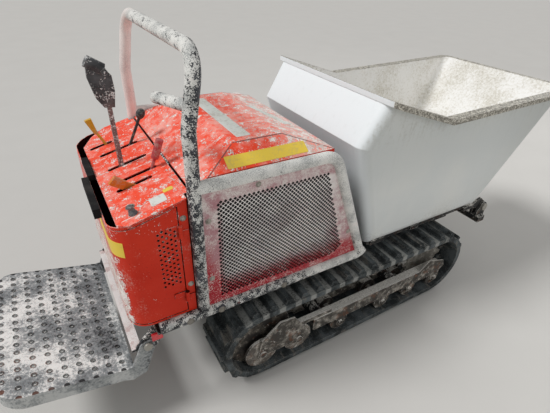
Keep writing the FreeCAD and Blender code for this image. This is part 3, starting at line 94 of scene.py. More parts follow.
# Console's sloping top, the lip at its front edge, and lathe profiles of (radius, height)
CONSOLE_REAR_X, CONSOLE_REAR_Z = -0.830, 0.852
CONSOLE_FRONT_X, CONSOLE_FRONT_Z = -0.640, 0.901
CONSOLE_SLOPE = (CONSOLE_FRONT_Z - CONSOLE_REAR_Z) / (CONSOLE_FRONT_X - CONSOLE_REAR_X)
CONSOLE_UP = Vector((-CONSOLE_SLOPE, 0, 1)).normalized()
LIP_REAR, LIP_FRONT, LIP_HALF = -0.6405, -0.6245, 0.318
LIP_DROP, LIP_THICK = 0.0032, 0.003
TOGGLE_SPOT = (-0.779, -0.299)
TOGGLE_PROFILE = [(0.013, 0.0), (0.013, 0.003), (0.0105, 0.004), (0.010, 0.012), (0.007, 0.0135),
                  (0.006, 0.019), (0.0085, 0.021), (0.0085, 0.026), (0.0, 0.027)]
HOLE_SPOT = (-0.779, -0.262)
HOLE_RIM_PROFILE = [(0.0135, 0.0), (0.0135, 0.0012), (0.0115, 0.0014), (0.0105, 0.0004)]
HOLE_PROFILE = [(0.0108, 0.0004), (0.0, 0.0005)]

# Hopper: a point in its load space, and where the rolled rim starts
HOPPER_MIDDLE = (0.55, 0.0, 0.9)
RIM_Y = 0.364

# Step, its grip holes in rows, and a rim's profile of (share of the hole's radius, height)
STEP_PIVOT_X = -0.813
STEP_FRONT_X, STEP_FRONT_Z = -0.871, 0.257
STEP_REAR_X, STEP_REAR_Z = -1.265, 0.349
GRIP_ROWS, GRIP_COLUMNS = 9, 16
GRIP_START = 0.092
GRIP_PITCH = 0.042
GRIP_ACROSS = 0.036
GRIP_R = 0.006
GRIP_RIM_PROFILE = [(1.62, -0.0004), (1.45, 0.0012), (1.25, 0.0026), (1.08, 0.0026), (1.02, 0.0008),
                    (1.02, -0.003)]
LAST_ROW_HALF = 0.235

# Dust between the lugs of the tracks' upper run: over the idler's axle it lies in a gap, and it
# repeats half a millimetre sooner than the lugs do
DUST_START = -0.399
DUST_PITCH = 0.071584

# Label films, and the bodies, places, directions across and up, and sizes of the labels
FILM_GAP = 0.0002
FILM_THICK = 0.0006
FILM_CORNER = 0.004


def on_console(x, y):
    """The point just above the console's top at x and y."""
    top = Vector((x, y, CONSOLE_REAR_Z + (x - CONSOLE_REAR_X) * CONSOLE_SLOPE))
    return top + CONSOLE_UP * FILM_GAP


LABELS = [
    ("hood_strip", "hood_lid", "pale", (-0.396, -0.008, 0.9903), (0, -1, 0), (1, 0, 0), (0.405, 0.050)),
    ("hood_side_plate", "hood_lid", "yellow", (-0.354, -0.2927, 0.9531), (1, 0, 0), SIDE_SLOPE,
     (0.285, 0.043)),
    ("hood_front_label", "hood_lid", "pale", (-0.192, -0.006, 0.9626), (0.35, -1, -0.117),
     (0.95, 0.35, -0.317), (0.200, 0.045)),
    ("console_label_one", "chassis", "pale", on_console(-0.706, -0.290), (1, 0, CONSOLE_SLOPE),
     (0, 1, 0), (0.046, 0.040)),
    ("console_label_two", "chassis", "yellow", on_console(-0.668, -0.262), (1, 0, CONSOLE_SLOPE),
     (0, 1, 0), (0.030, 0.018)),
]

# Stage
FLOOR_HALF = 60.0
LIGHTS_AIM = Vector((0, 0, 0.5))
KEY_SPREAD = math.radians(18)


# Shader expressions


class Wire:
    """A shader socket that takes part in Python expressions."""

    def __init__(self, finish, socket):
        self.finish = finish
        self.socket = socket

    def __add__(self, other):
        return self.finish.maths("ADD", self, other)

    def __sub__(self, other):
        return self.finish.maths("SUBTRACT", self, other)

    def __rsub__(self, other):
        return self.finish.maths("SUBTRACT", other, self)

    def __mul__(self, other):
        return self.finish.maths("MULTIPLY", self, other)

    def __truediv__(self, other):
        return self.finish.maths("DIVIDE", self, other)

    def __pow__(self, other):
        return self.finish.maths("POWER", self, other)

    __radd__ = __add__
    __rmul__ = __mul__

    def least(self, other):
        return self.finish.maths("MINIMUM", self, other)

    def most(self, other):
        return self.finish.maths("MAXIMUM", self, other)

    def part(self):
        """The place within one period, from 0 to 1, also below zero."""
        return self.finish.maths("FRACT", self, 0.0)

    def size(self):
        """The value without its sign."""
        return self.finish.maths("ABSOLUTE", self, 0.0)

    def rise(self, low, high):
        """0 below low, 1 above high, smooth between."""
        return self.finish.wire("ShaderNodeMapRange", {"interpolation_type": "SMOOTHSTEP"},
                                {"Value": self, "From Min": low, "From Max": high})

    def fall(self, low, high):
        return 1 - self.rise(low, high)


class Finish:
    """A material made of expressions, with one Principled shader."""

    def __init__(self, name, **fixed):
        self.material = bpy.data.materials.new(name)
        self.material.use_nodes = True
        self.tree = self.material.node_tree
        self.tree.nodes.clear()
        output = self.node("ShaderNodeOutputMaterial")
        self.skin = self.node("ShaderNodeBsdfPrincipled", inputs=fixed)
        self.tree.links.new(self.skin.outputs[0], output.inputs[0])
        place = self.node("ShaderNodeTexCoord")
        self.spot = Wire(self, place.outputs["Object"])
        self.facing = Wire(self, place.outputs["Normal"])
        self.x, self.y, self.z = self.split(self.spot)
        self.face_x, self.face_y, self.face_z = self.split(self.facing)

    def node(self, kind, settings=None, inputs=None):
        """A new node with its settings, and the values or links of its sockets."""
        made = self.tree.nodes.new(kind)
        for key, value in (settings or {}).items():
            setattr(made, key, value)
        for key, value in (inputs or {}).items():
            if isinstance(value, Wire):
                self.tree.links.new(value.socket, made.inputs[key])
            else:
                made.inputs[key].default_value = value
        return made

    def wire(self, kind, settings=None, inputs=None, output=0):
        """One output of a new node, for use in expressions."""
        return Wire(self, self.node(kind, settings, inputs).outputs[output])

    def maths(self, operation, first, second):
        return self.wire("ShaderNodeMath", {"operation": operation}, {0: first, 1: second})

    def split(self, vector):
        made = self.node("ShaderNodeSeparateXYZ", inputs={0: vector})
        return [Wire(self, socket) for socket in made.outputs]

    def blend(self, first, second, share):
        """From the first colour to the second as share goes from 0 to 1."""
        return self.wire("ShaderNodeMix", {"data_type": "RGBA"},
                         {0: share, 6: tint(first), 7: tint(second)}, 2)

    def noise(self, scale, detail=3.0, rough=0.55, stretch=None):
        """Cloudy variation about 0.5; scale is features a metre."""
        spot = self.spot
        if stretch:
            spot = self.wire("ShaderNodeVectorMath", {"operation": "MULTIPLY"},
                             {0: spot, 1: stretch})
        return self.wire("ShaderNodeTexNoise", None,
                         {"Vector": spot, "Scale": scale, "Detail": detail, "Roughness": rough})

    def cells(self, scale):
        """Distance to the nearest of many scattered points."""
        return self.wire("ShaderNodeTexVoronoi", None, {"Vector": self.spot, "Scale": scale})

    def edges(self, radius):
        """1 on sharp edges, 0 on open faces, with the rounded normal that goes with it."""
        soft = self.wire("ShaderNodeBevel", {"samples": 6}, {"Radius": radius})
        flat = self.wire("ShaderNodeNewGeometry", output="Normal")
        same = self.wire("ShaderNodeVectorMath", {"operation": "DOT_PRODUCT"}, {0: soft, 1: flat},
                         "Value")
        return same.fall(0.80, 0.995), soft

    def coat(self, colour, rough, height=None, depth=0.001, soft=None):
        """Links the finished expressions to the shader."""
        for key, value in (("Base Color", colour), ("Roughness", rough)):
            if isinstance(value, Wire):
                self.tree.links.new(value.socket, self.skin.inputs[key])
            else:
                self.skin.inputs[key].default_value = tint(value) if key == "Base Color" else value
        if height is not None:
            inputs = {"Height": height, "Strength": 1.0, "Distance": depth}
            if soft is not None:
                inputs["Normal"] = soft
            bump = self.wire("ShaderNodeBump", None, inputs)
            self.tree.links.new(bump.socket, self.skin.inputs["Normal"])
        return self.material


def tint(colour):
    """A colour as four numbers; a wire passes through."""
    if isinstance(colour, Wire):
        return colour
    return (*colour[:3], 1.0)


def paint(hex_code):
    """Linear colour from the usual six-digit screen code."""
    parts = [int(hex_code[i:i + 2], 16) / 255 for i in (0, 2, 4)]
    return tuple(c / 12.92 if c <= 0.04045 else ((c + 0.055) / 1.055) ** 2.4 for c in parts)


# Finishes

made_finishes = {}


def finish_of(maker, *values):
    """Each finish is made once and shared."""
    key = (maker.__name__, *values)
    if key not in made_finishes:
        made_finishes[key] = maker(*values)
    return made_finishes[key]


def cement(f, share, grain=380.0, clump=26.0):
    """Dried cement spots; share is about the part of the surface under them."""
    fine = f.noise(grain, 2.0, 0.6)
    clumps = f.noise(clump, 4.0, 0.65)
    return (fine * 0.45 + clumps * 0.55 + share * 0.36 - 0.18).rise(0.49, 0.52)


def inward(f, centre):
    """1 on the faces that look towards a centre, 0 on those that look away from it."""
    reach = f.wire("ShaderNodeVectorMath", {"operation": "SUBTRACT"}, {0: f.spot, 1: centre})
    away = f.wire("ShaderNodeVectorMath", {"operation": "DOT_PRODUCT"}, {0: reach, 1: f.facing}, "Value")
    return away.fall(-0.03, -0.01)


def red_sheet():
    """Red sheet: faded and chipped above, whitened at hood's nose and cabinet's back, with painted shade
    along the hood's creases and inside the cabinet.
    """
    colours = bpy.context.scene.dumper_paint
    f = Finish("red_sheet", **{"Specular IOR Level": 0.18})
    edge, soft = f.edges(0.0025)
    up = f.face_z.rise(0.25, 0.9)
    hood = f.x.rise(-0.62, -0.615)
    ridge = ((HOOD_RIDGE_REAR - f.x) * REAR_CREASE).most((f.x - HOOD_RIDGE_FRONT) * FRONT_CREASE)
    ridge = ridge.most(0.0)
    # Painted shade: a dark line along the hood's creases, where its flat top turns down into the sloping
    # sides
    crease_shade = (f.y.size() - ridge - HOOD_TOP_HALF).size()
    crease_shade = crease_shade.fall(0.0014, 0.0036) * hood * f.face_z.rise(0.5, 0.6)
    nose = f.x.rise(-0.42, -0.14) * f.face_z.rise(-0.2, 0.3)
    back = (0 - f.face_x).rise(0.6, 0.95) * f.x.fall(-0.84, -0.83)
    back = back * (f.z.fall(0.56, 0.80) * 0.6 + 0.4)
    cloud = f.noise(5.0, 4.0)
    grime_and_shade = f.noise(38.0, 5.0, 0.7)
    fine = f.noise(190.0, 3.0, 0.65)
    base = f.blend(colours.red_deep, colours.red_faded, (up * 0.8 + cloud * 0.6 - 0.2).most(0.0))
    haze = (grime_and_shade * 0.7 + cloud * 0.5 + hood * 0.05 + nose * 0.22).rise(0.54, 0.80)
    base = f.blend(base, paint("F6C4B8"), haze * up * 0.65)
    patch = (f.noise(9.0, 4.0, 0.7) * 0.75 + fine * 0.5).rise(0.68, 0.82) * (1 - up)
    base = f.blend(base, paint("CF9C90"), patch * 0.55)
    scratches = f.noise(10.0, 2.0, 0.5, (1.2, 12.0, 3.0)).rise(0.68, 0.71) * up
    base = f.blend(base, paint("F3E3DB"), scratches * 0.85)
    brink = f.z.rise(0.80, 0.845) * f.x.fall(-0.66, -0.64) * (1 - up) * 0.16
    share = up * 0.26 + back * 0.62 + brink + edge * 0.35 + 0.07 + nose * 0.26
    spots = cement(f, share, 190.0, 36.0)
    chalk = f.blend(paint("CFC3BC"), paint("F4F0EA"), grime_and_shade.rise(0.40, 0.58))
    base = f.blend(base, chalk, spots * 0.95)
    base = f.blend(base, paint("7C1A10"), fine.fall(0.30, 0.36) * (1 - spots) * 0.5)
    # Painted shade darkens the crease line here, broken up by a noise
    base = f.blend(base, paint("6B4A47"), crease_shade * grime_and_shade.rise(0.36, 0.48) * 0.85)
    # Painted shade: faces inside the cabinet, below the console's top and behind its front edge, are
    # painted near-black
    inner = inward(f, CABINET_MIDDLE) * f.x.fall(-0.642, -0.640) * f.z.fall(0.86, 0.88)
    base = f.blend(base, paint("140705"), inner * 0.95)
    rough = 0.34 + up * 0.14 + spots * 0.35
    return f.coat(base, rough, grime_and_shade * 0.25 + spots, 0.0006, soft)


def mesh_sheet():
    """Perforated red sheet: dusted pale on the bars and the frame, red along its lower edge, with painted
    shade on the walls of its holes.
    """
    f = Finish("mesh_sheet", **{"Specular IOR Level": 0.3})
    cloud = f.noise(6.0, 4.0, 0.6)
    patches = f.noise(28.0, 4.0, 0.7)
    grain = f.noise(240.0, 3.0, 0.7)
    field = f.x.rise(-0.552, -0.53) * f.x.fall(-0.16, -0.06) * f.z.rise(0.50, 0.60) * f.z.fall(0.84, 0.87)
    low = f.z.fall(0.455, 0.60)
    rear = f.x.fall(-0.60, -0.50) * 0.55
    red = (low * 0.62 + rear * f.z.fall(0.50, 0.86) + cloud * 0.6 + patches * 0.7 - 0.62).rise(0.10, 0.42)
    dust = f.blend(paint("B5858A"), paint("D3C2C0"), (cloud * 0.5 + patches * 0.6).rise(0.45, 0.65))
    smear = (cloud * 0.9 + patches * 0.35).rise(0.52, 0.70)
    bars = f.blend(paint("D9D4D2"), paint("FBF9F6"), smear)
    base = f.blend(dust, bars, field * 0.95)
    base = f.blend(base, paint("A92732"), red * (1 - field * 0.55))
    base = f.blend(base, paint("E2DDD7"), (grain + patches * 0.6 - 0.84).rise(0.0, 0.08) * 0.8)
    base = f.blend(base, paint("6E2229"), grain.fall(0.34, 0.42) * (0.5 - field * 0.25))
    # Painted shade: faces that do not look along Y, the hole walls and the sheet's edges, are painted
    # near-black
    base = f.blend(paint("0C0808"), base, f.face_y.size().rise(0.4, 0.8))
    return f.coat(base, 0.62 + grain * 0.25, grain, 0.0004)


def crusted_tube(high_share, low_share):
    """Blue-black tube under splashed cement; the cover differs above and below about 0.56 m."""
    f = Finish("crusted_tube")
    high = f.z.rise(0.50, 0.62)
    far = f.y.rise(0.20, 0.30)
    fore = f.x.rise(-0.34, -0.12)
    hoop = f.z.rise(0.93, 0.97)
    # Cement and painted light: the pale cover changes with the way a face looks. It grows on top faces
    # and the high top bar, and on the hoop on faces towards the key light, so lit sides read paler.
    cement_and_painted_light = f.face_x * (0.08 - hoop * 0.20) + f.face_z * 0.10 + f.z.rise(1.10, 1.25) * 0.10
    share = high * (high_share - low_share) + low_share + far * 0.45 + fore * 0.25 + cement_and_painted_light
    spots = cement(f, share, 260.0, 46.0)
    grain = f.noise(420.0, 2.0, 0.7)
    broad = f.noise(14.0, 3.0)
    pale = f.blend(paint("A6A8A6"), paint("E6E5E0"), (grain * 0.7 + broad * 0.5).rise(0.50, 0.64))
    # Painted reflection: the far tubes' pale cover is tinted pink for red light bounced onto them, with
    # random pink patches besides
    pale = f.blend(pale, paint("EFE0DB"), far * 0.6 + broad.rise(0.60, 0.70) * 0.35)
    base = f.blend(paint("191C23"), paint("5A5E68"), (broad * 0.6 + grain * 0.5).rise(0.52, 0.66) * 0.6)
    base = f.blend(base, paint("8E4A44"), f.noise(20.0, 3.0).rise(0.62, 0.66) * (1 - high) * 0.4)
    base = f.blend(base, pale, spots)
    return f.coat(base, 0.42 + spots * 0.4, spots + grain * 0.3, 0.0009)


def hanger_steel():
    """Step hangers in black and cement, with the whitened bar across them."""
    f = Finish("hanger_steel")
    bar = f.x.rise(-0.868, -0.867) * f.x.fall(-0.833, -0.832) * f.z.fall(0.334, 0.336)
    bar = bar * f.y.size().fall(0.295, 0.30)
    grain = f.noise(300.0, 3.0, 0.7)
    cloud = f.noise(16.0, 3.0)
    spots = cement(f, 0.42, 220.0, 40.0)
    base = f.blend(paint("1E2024"), paint("D5D3CE"), spots)
    white = f.blend(paint("EFEDEA"), paint("D3BFBB"), (cloud * 0.7 + grain * 0.4).rise(0.54, 0.66))
    base = f.blend(base, white, bar)
    return f.coat(base, 0.55, grain * 0.5 + spots * 0.5, 0.0008)


def hopper_shell():
    """Off-white moulded hopper: painted light on faces towards the key light, painted shade on the upper
    and front parts of its sides, stained and pitted at rim and inside.
    """
    f = Finish("hopper_shell", **{"Specular IOR Level": 0.35})
    inside = inward(f, HOPPER_MIDDLE)
    edge, soft = f.edges(0.004)
    cloud = f.noise(3.0, 4.0, 0.55)
    fine = f.noise(90.0, 4.0, 0.7)
    specks = f.noise(240.0, 2.0, 0.7)
    drips = f.noise(9.0, 3.0, 0.6, (6.0, 6.0, 0.5))
    outer = f.blend(paint("D9DDDC"), paint("E4E6E3"), cloud.rise(0.30, 0.70))
    # Painted light: faces that look towards -x, the side the key light comes from, are painted whiter and
    # bluer
    outer = f.blend(outer, paint("EFF4F6"), (0 - f.face_x).rise(0.2, 0.7))
    sideways = f.face_y.size().rise(0.5, 0.8)
    stain = f.z.rise(0.86, 0.97) * (drips * 0.5 + fine * 0.5).rise(0.46, 0.66) * sideways
    outer = f.blend(outer, paint("A9A595"), stain * 0.40)
    outer = f.blend(outer, paint("C2C4C1"), drips.rise(0.55, 0.85) * 0.18)
    # Painted shade: the side walls are painted greyer towards their top and their front, where they lie
    # in shade
    film = (f.z.rise(0.58, 0.92) * 0.55 + f.x.rise(0.70, 1.20) * 0.55 + cloud * 0.35 - 0.17) * sideways
    outer = f.blend(outer, paint("9FA3A0"), film.most(0.0).least(1.0) * 0.52)
    scuff = f.z.fall(0.38, 0.56) * (fine * 0.6 + cloud * 0.5).rise(0.50, 0.66)
    outer = f.blend(outer, paint("8F8A82"), scuff * 0.45)
    inner = f.blend(paint("F4F3F0"), paint("D6D2C7"), (cloud * 0.6 + fine * 0.5).rise(0.50, 0.70))
    specked = (specks * 0.6 + fine * 0.4 + cloud * 0.3).rise(0.75, 0.81)
    inner = f.blend(inner, paint("A09A8D"), specked * 0.6)
    base = f.blend(outer, inner, inside)
    rim = f.y.size().rise(RIM_Y, RIM_Y + 0.003)
    rim = rim.most(f.z.rise(0.93, 0.95) * f.face_z.rise(0.75, 0.95))
    worn = (fine * 0.6 + specks * 0.45).rise(0.47, 0.55)
    base = f.blend(base, f.blend(paint("D0CBBD"), paint("665F52"), worn), rim * 0.9)
    base = f.blend(base, paint("8F8979"), edge * fine.rise(0.48, 0.62) * 0.6 * f.z.rise(0.80, 0.90))
    pits = (fine * 0.4 + specks * 0.2) * (inside * 0.85 + 0.15)
    return f.coat(base, 0.42 + inside * 0.2 + fine * 0.1, pits, 0.0006, soft)


def track_rubber():
    """Dark rubber; dust lies between the lugs of the upper run and on scuffed edges."""
    f = Finish("track_rubber", **{"Specular IOR Level": 0.25})
    edge, soft = f.edges(0.004)
    cloud = f.noise(14.0, 4.0, 0.65)
    grain = f.noise(210.0, 4.0, 0.7)
    scuffs = f.noise(30.0, 3.0, 0.6, (1.0, 0.25, 1.0))
    base = f.blend(paint("2C3031"), paint("5C6264"), (cloud * 0.7 + grain * 0.4).rise(0.46, 0.66))
    base = f.blend(base, paint("858078"), (scuffs + grain * 0.5).rise(0.80, 0.94) * 0.6)
    phase = ((f.x - DUST_START) / DUST_PITCH).part() - 0.5
    gap = phase.size().rise(0.27, 0.36) * f.z.rise(0.325, 0.335)
    outboard = f.y.size().rise(0.22, 0.36)
    base = f.blend(base, paint("9C9D99"), gap * outboard * (grain + cloud).rise(0.75, 1.05) * 0.85)
    base = f.blend(base, paint("9A978F"), edge * (grain * 0.6 + cloud * 0.5).rise(0.50, 0.62) * 0.6)
    spots = cement(f, 0.14, 420.0)
    base = f.blend(base, paint("B5B3AC"), spots * 0.6)
    return f.coat(base, 0.68 + cloud * 0.2, grain + spots * 0.5, 0.0008, soft)


def muddy_steel(dark, pale, rust, cover):
    """Undercarriage steel: caked dirt, rust in patches, and cement over its upper faces."""
    f = Finish("muddy_steel")
    edge, soft = f.edges(0.003)
    up = f.face_z.rise(0.2, 0.9)
    cloud = f.noise(22.0, 5.0, 0.7)
    grain = f.noise(320.0, 3.0, 0.7)
    base = f.blend(paint(dark), paint(pale), (cloud * 0.8 + grain * 0.35).rise(0.52, 0.72))
    rusty = (f.noise(30.0, 3.0) * 0.8 + grain * 0.2).rise(0.56, 0.64)
    base = f.blend(base, paint("7A4524"), rusty * rust)
    spots = cement(f, up * cover + edge * 0.45 + 0.18, 240.0, 44.0)
    base = f.blend(base, f.blend(paint("BDB7AC"), paint("FAF7F0"), grain.rise(0.38, 0.54)), spots * 0.92)
    return f.coat(base, 0.6 + grain * 0.25, cloud * 0.7 + grain * 0.6, 0.0016, soft)


def step_plate():
    """Black step under a wash of cement, with painted shade in its grip holes and on their rims, and a
    rusty corner.
    """
    f = Finish("step_plate")
    edge, soft = f.edges(0.002)
    cloud = f.noise(7.0, 5.0, 0.65)
    grain = f.noise(110.0, 4.0, 0.7)
    fine = f.noise(420.0, 2.0, 0.7)
    rearward = (0 - f.x).rise(0.84, 1.24) - 0.34
    tone = cloud * 0.66 + grain * 0.36 + fine * 0.14 + rearward * 0.05 - 0.018
    base = f.blend(paint("25272B"), paint("8B8F91"), tone.rise(0.41, 0.55))
    base = f.blend(base, paint("F2F2EF"), tone.rise(0.545, 0.66))
    along = ((f.x - STEP_PIVOT_X + GRIP_START) / GRIP_PITCH + 0.5).part() - 0.5
    across = (f.y / GRIP_ACROSS).part() - 0.5
    away = (along * GRIP_PITCH) ** 2 + (across * GRIP_ACROSS) ** 2
    skirt = f.face_z.fall(0.3, 0.6)
    # Painted shade: the grip holes and the inner slopes of their rims are painted near-black, turning
    # rust brown at one rear corner
    grime_and_shade = away.fall(0.0074 ** 2, 0.0098 ** 2) * (1 - skirt)
    corner = f.x.fall(-1.16, -1.08) * f.y.fall(-0.20, -0.08)
    base = f.blend(base, f.blend(paint("101012"), paint("6B3A22"), corner * cloud.rise(0.40, 0.55)),
                   grime_and_shade * 0.93)
    base = f.blend(base, paint("D9D7D2"), edge * grain.rise(0.40, 0.55) * (1 - grime_and_shade) * 0.7)
    base = f.blend(base, paint("A9ACAB"), skirt * (cloud * 0.6 + grain * 0.5).rise(0.45, 0.62) * 0.7)
    return f.coat(base, 0.5 + tone * 0.3, tone + fine * 0.3, 0.0008, soft)


def black_sheet(share):
    """Blue-black grip of the tall lever, splashed with cement, on a worn rod."""
    f = Finish("black_sheet")
    edge, soft = f.edges(0.002)
    spots = cement(f, share, 190.0, 26.0)
    haze = f.noise(8.0, 4.0, 0.6).rise(0.40, 0.70)
    grain = f.noise(300.0, 3.0, 0.7)
    base = f.blend(paint("1B1D21"), paint("85878A"), haze * 0.55)
    base = f.blend(base, paint("A08682"), f.z.fall(1.06, 1.09) * grain.rise(0.38, 0.50) * 0.75)
    base = f.blend(base, paint("9A8682"), f.z.fall(1.09, 1.14) * f.z.rise(1.07, 1.08) * haze * 0.8)
    base = f.blend(base, f.blend(paint("A3A5A6"), paint("E9E9E6"), grain.rise(0.35, 0.6)), spots)
    base = f.blend(base, paint("B9B6B0"), edge * 0.5)
    return f.coat(base, 0.45 + spots * 0.35, spots + grain * 0.3, 0.0008, soft)


def plain_paint(code, rough, dirt):
    """A small painted or moulded piece with dust in its grain."""
    f = Finish("plain_paint_" + code)
    edge, soft = f.edges(0.0015)
    grain = f.noise(180.0, 4.0, 0.7)
    cloud = f.noise(30.0, 3.0, 0.6)
    dust = (grain * 0.6 + cloud * 0.5).rise(0.52, 0.72) * dirt
    base = f.blend(paint(code), paint("BEB8AC"), dust)
    base = f.blend(base, paint("D8D4CA"), edge * grain.rise(0.4, 0.6) * 0.35)
    return f.coat(base, rough + dust * 0.3, grain, 0.0003, soft)


def worn_steel(code, metal):
    """Zinc plated or bare steel with dull patches."""
    f = Finish("worn_steel", Metallic=metal)
    edge, soft = f.edges(0.001)
    grain = f.noise(260.0, 3.0, 0.7)
    cloud = f.noise(45.0, 3.0)
    base = f.blend(paint(code), paint("6F675C"), (grain * 0.5 + cloud * 0.5).rise(0.48, 0.66) * 0.7)
    base = f.blend(base, paint("D9D5CC"), edge * 0.4)
    return f.coat(base, 0.34 + cloud * 0.3, grain, 0.0003, soft)


def foam_grip():
    """Dark closed-cell foam with a dusty bloom."""
    f = Finish("foam_grip", **{"Specular IOR Level": 0.2})
    pores = f.cells(700.0)
    cloud = f.noise(16.0, 3.0)
    base = f.blend(paint("1A1A1B"), paint("4A4845"), cloud.rise(0.45, 0.75) * 0.5)
    return f.coat(base, 0.85, pores, 0.0004)


def label_film(code, dirt):
    """Blank plate or label stock with scuffed corners and dust."""
    f = Finish("label_film_" + code, **{"Specular IOR Level": 0.45})
    grain = f.noise(150.0, 4.0, 0.7)
    cloud = f.noise(18.0, 4.0, 0.65)
    scuffs = f.noise(26.0, 2.0, 0.5, (1.0, 1.0, 9.0)).rise(0.62, 0.68)
    base = f.blend(paint(code), paint("A89A88"), (cloud * 0.6 + grain * 0.5).rise(0.52, 0.72) * dirt)
    base = f.blend(base, paint("8F8378"), scuffs * 0.4 * dirt)
    return f.coat(base, 0.4 + cloud * 0.2, grain, 0.0002)


def red_lens():
    """Moulded reflector with its fine prisms."""
    f = Finish("red_lens", **{"Coat Weight": 0.6, "Coat Roughness": 0.1})
    prisms = f.cells(420.0)
    base = f.blend(paint("C20C18"), paint("F0434A"), prisms.rise(0.1, 0.6) * 0.6)
    return f.coat(base, 0.18, prisms, 0.0006)


def pale_ground():
    """Pale studio floor."""
    f = Finish("pale_ground", **{"Specular IOR Level": 0.1})
    cloud = f.noise(2.5, 4.0)
    base = f.blend(paint("C8C6C2"), paint("CFCDC9"), cloud)
    return f.coat(base, 0.9)


def dress(node, material):
    """Gives a CAD node its finish."""
    slots = NODES[node].data.materials
    slots.clear()
    slots.append(material)


# Mesh helpers


def piece(name, mesh, material, body):
    """Turns a bmesh into a named object that rides on a body."""
    data = bpy.data.meshes.new(name)
    mesh.to_mesh(data)
    mesh.free()
    made = bpy.data.objects.new(name, data)
    bpy.context.scene.collection.objects.link(made)
    data.materials.append(material)
    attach(made, body)
    return made


def basis(normal):
    """Rotation that takes +Z to the normal."""
    return Vector(normal).normalized().to_track_quat("Z", "Y").to_matrix()


def turned(mesh, profile, centre, normal, sides):
    """A lathe form: profile is (radius, height) from its foot up, along the normal."""
    turn = basis(normal)
    centre = Vector(centre)
    rings = []
    for radius, height in profile:
        if radius < 1e-6:
            rings.append([mesh.verts.new(centre + turn @ Vector((0, 0, height)))])
            continue
        ring = []
        for i in range(sides):
            angle = 2 * math.pi * i / sides
            spot = Vector((radius * math.cos(angle), radius * math.sin(angle), height))
            ring.append(mesh.verts.new(centre + turn @ spot))
        rings.append(ring)
    for low, high in zip(rings, rings[1:]):
        for i in range(sides):
            j = (i + 1) % sides
            if len(low) == 1:
                face = mesh.faces.new((low[0], high[j], high[i]))
            elif len(high) == 1:
                face = mesh.faces.new((low[i], low[j], high[0]))
            else:
                face = mesh.faces.new((low[i], low[j], high[j], high[i]))
            face.smooth = True


def dome_bolt(mesh, centre, normal, radius):
    """Button head on a washer."""
    r = radius
    turned(mesh, [(r * 1.5, 0.0), (r * 1.5, r * 0.16), (r * 1.05, r * 0.2), (r * 1.0, r * 0.35),
                  (r * 0.85, r * 0.7), (r * 0.55, r * 0.9), (r * 0.3, r * 0.95), (r * 0.26, r * 0.6),
                  (0.0, r * 0.6)], centre, normal, 14)


def slab(mesh, corners, thick):
    """A flat plate: corners go round its foot, and it grows along their common normal."""
    corners = [Vector(c) for c in corners]
    normal = (corners[1] - corners[0]).cross(corners[2] - corners[1]).normalized()
    low = [mesh.verts.new(c) for c in corners]
    high = [mesh.verts.new(c + normal * thick) for c in corners]
    mesh.faces.new(high)
    mesh.faces.new(low[::-1])
    for i in range(len(corners)):
        j = (i + 1) % len(corners)
        mesh.faces.new((low[i], low[j], high[j], high[i]))


def bent_strip(mesh, path, low, high, thick):
    """A thin upright strip that follows a plan path of (x, y), with its outer face on the right."""
    rings = []
    for i, (x, y) in enumerate(path):
        ax, ay = path[max(i - 1, 0)]
        bx, by = path[min(i + 1, len(path) - 1)]
        out = Vector((by - ay, ax - bx, 0)).normalized() * thick
        rings.append([mesh.verts.new(Vector((x, y, z)) + out * step)
                      for z, step in ((low, 0), (low, 1), (high, 1), (high, 0))])
    for near, far in zip(rings, rings[1:]):
        for i in range(4):
            j = (i + 1) % 4
            mesh.faces.new((near[i], near[j], far[j], far[i]))
    mesh.faces.new(rings[0][::-1])
    mesh.faces.new(rings[-1])
    bmesh.ops.recalc_face_normals(mesh, faces=mesh.faces)


def rounded_card(centre, right, up, width, height, corner):
    """Outline points of a card with rounded corners in the plane of right and up."""
    centre, right, up = Vector(centre), Vector(right).normalized(), Vector(up).normalized()
    points = []
    for sx, sy, start in ((1, 1, 0), (-1, 1, 90), (-1, -1, 180), (1, -1, 270)):
        for turn in (0.0, 22.5, 45.0, 67.5, 90.0):
            angle = math.radians(start + turn)
            a = sx * (width / 2 - corner) + corner * math.cos(angle)
            b = sy * (height / 2 - corner) + corner * math.sin(angle)
            points.append(centre + right * a + up * b)
    return points


def box_size(corners):
    """Extent of a box along X, Y and Z."""
    low, high = corners
    return [b - a for a, b in zip(low, high)]


def staggered_holes(field, pitch, bar):
    """Outlines of diamond holes with cut corners, in staggered rows with a bar between them."""
    point = (pitch - bar * math.sqrt(2)) / 2
    flat = point * HOLE_FLAT
    corner = point - flat
    shape = [(flat, -corner), (flat, corner), (corner, flat), (-corner, flat),
             (-flat, corner), (-flat, -corner), (-corner, -flat), (corner, -flat)]
    xs = [x for x, z in field]
    zs = [z for x, z in field]
    holes = []
    rows = int((max(zs) - min(zs)) / pitch * 2)
    for row in range(rows + 1):
        z = min(zs) + row * pitch / 2
        x = min(xs) + (pitch * 0.5 if row % 2 else 0.0)
        while x < max(xs):
            if within(field, x, z, flat):
                holes.append([(x + dx, z + dz) for dx, dz in shape])
            x += pitch
    return holes


def within(field, x, z, margin):
    """True if a point lies inside a convex outline, walked anticlockwise, by a margin."""
    for (ax, az), (bx, bz) in zip(field, field[1:] + field[:1]):
        length = math.hypot(bx - ax, bz - az)
        if ((bx - ax) * (z - az) - (bz - az) * (x - ax)) / length < margin:
            return False
    return True


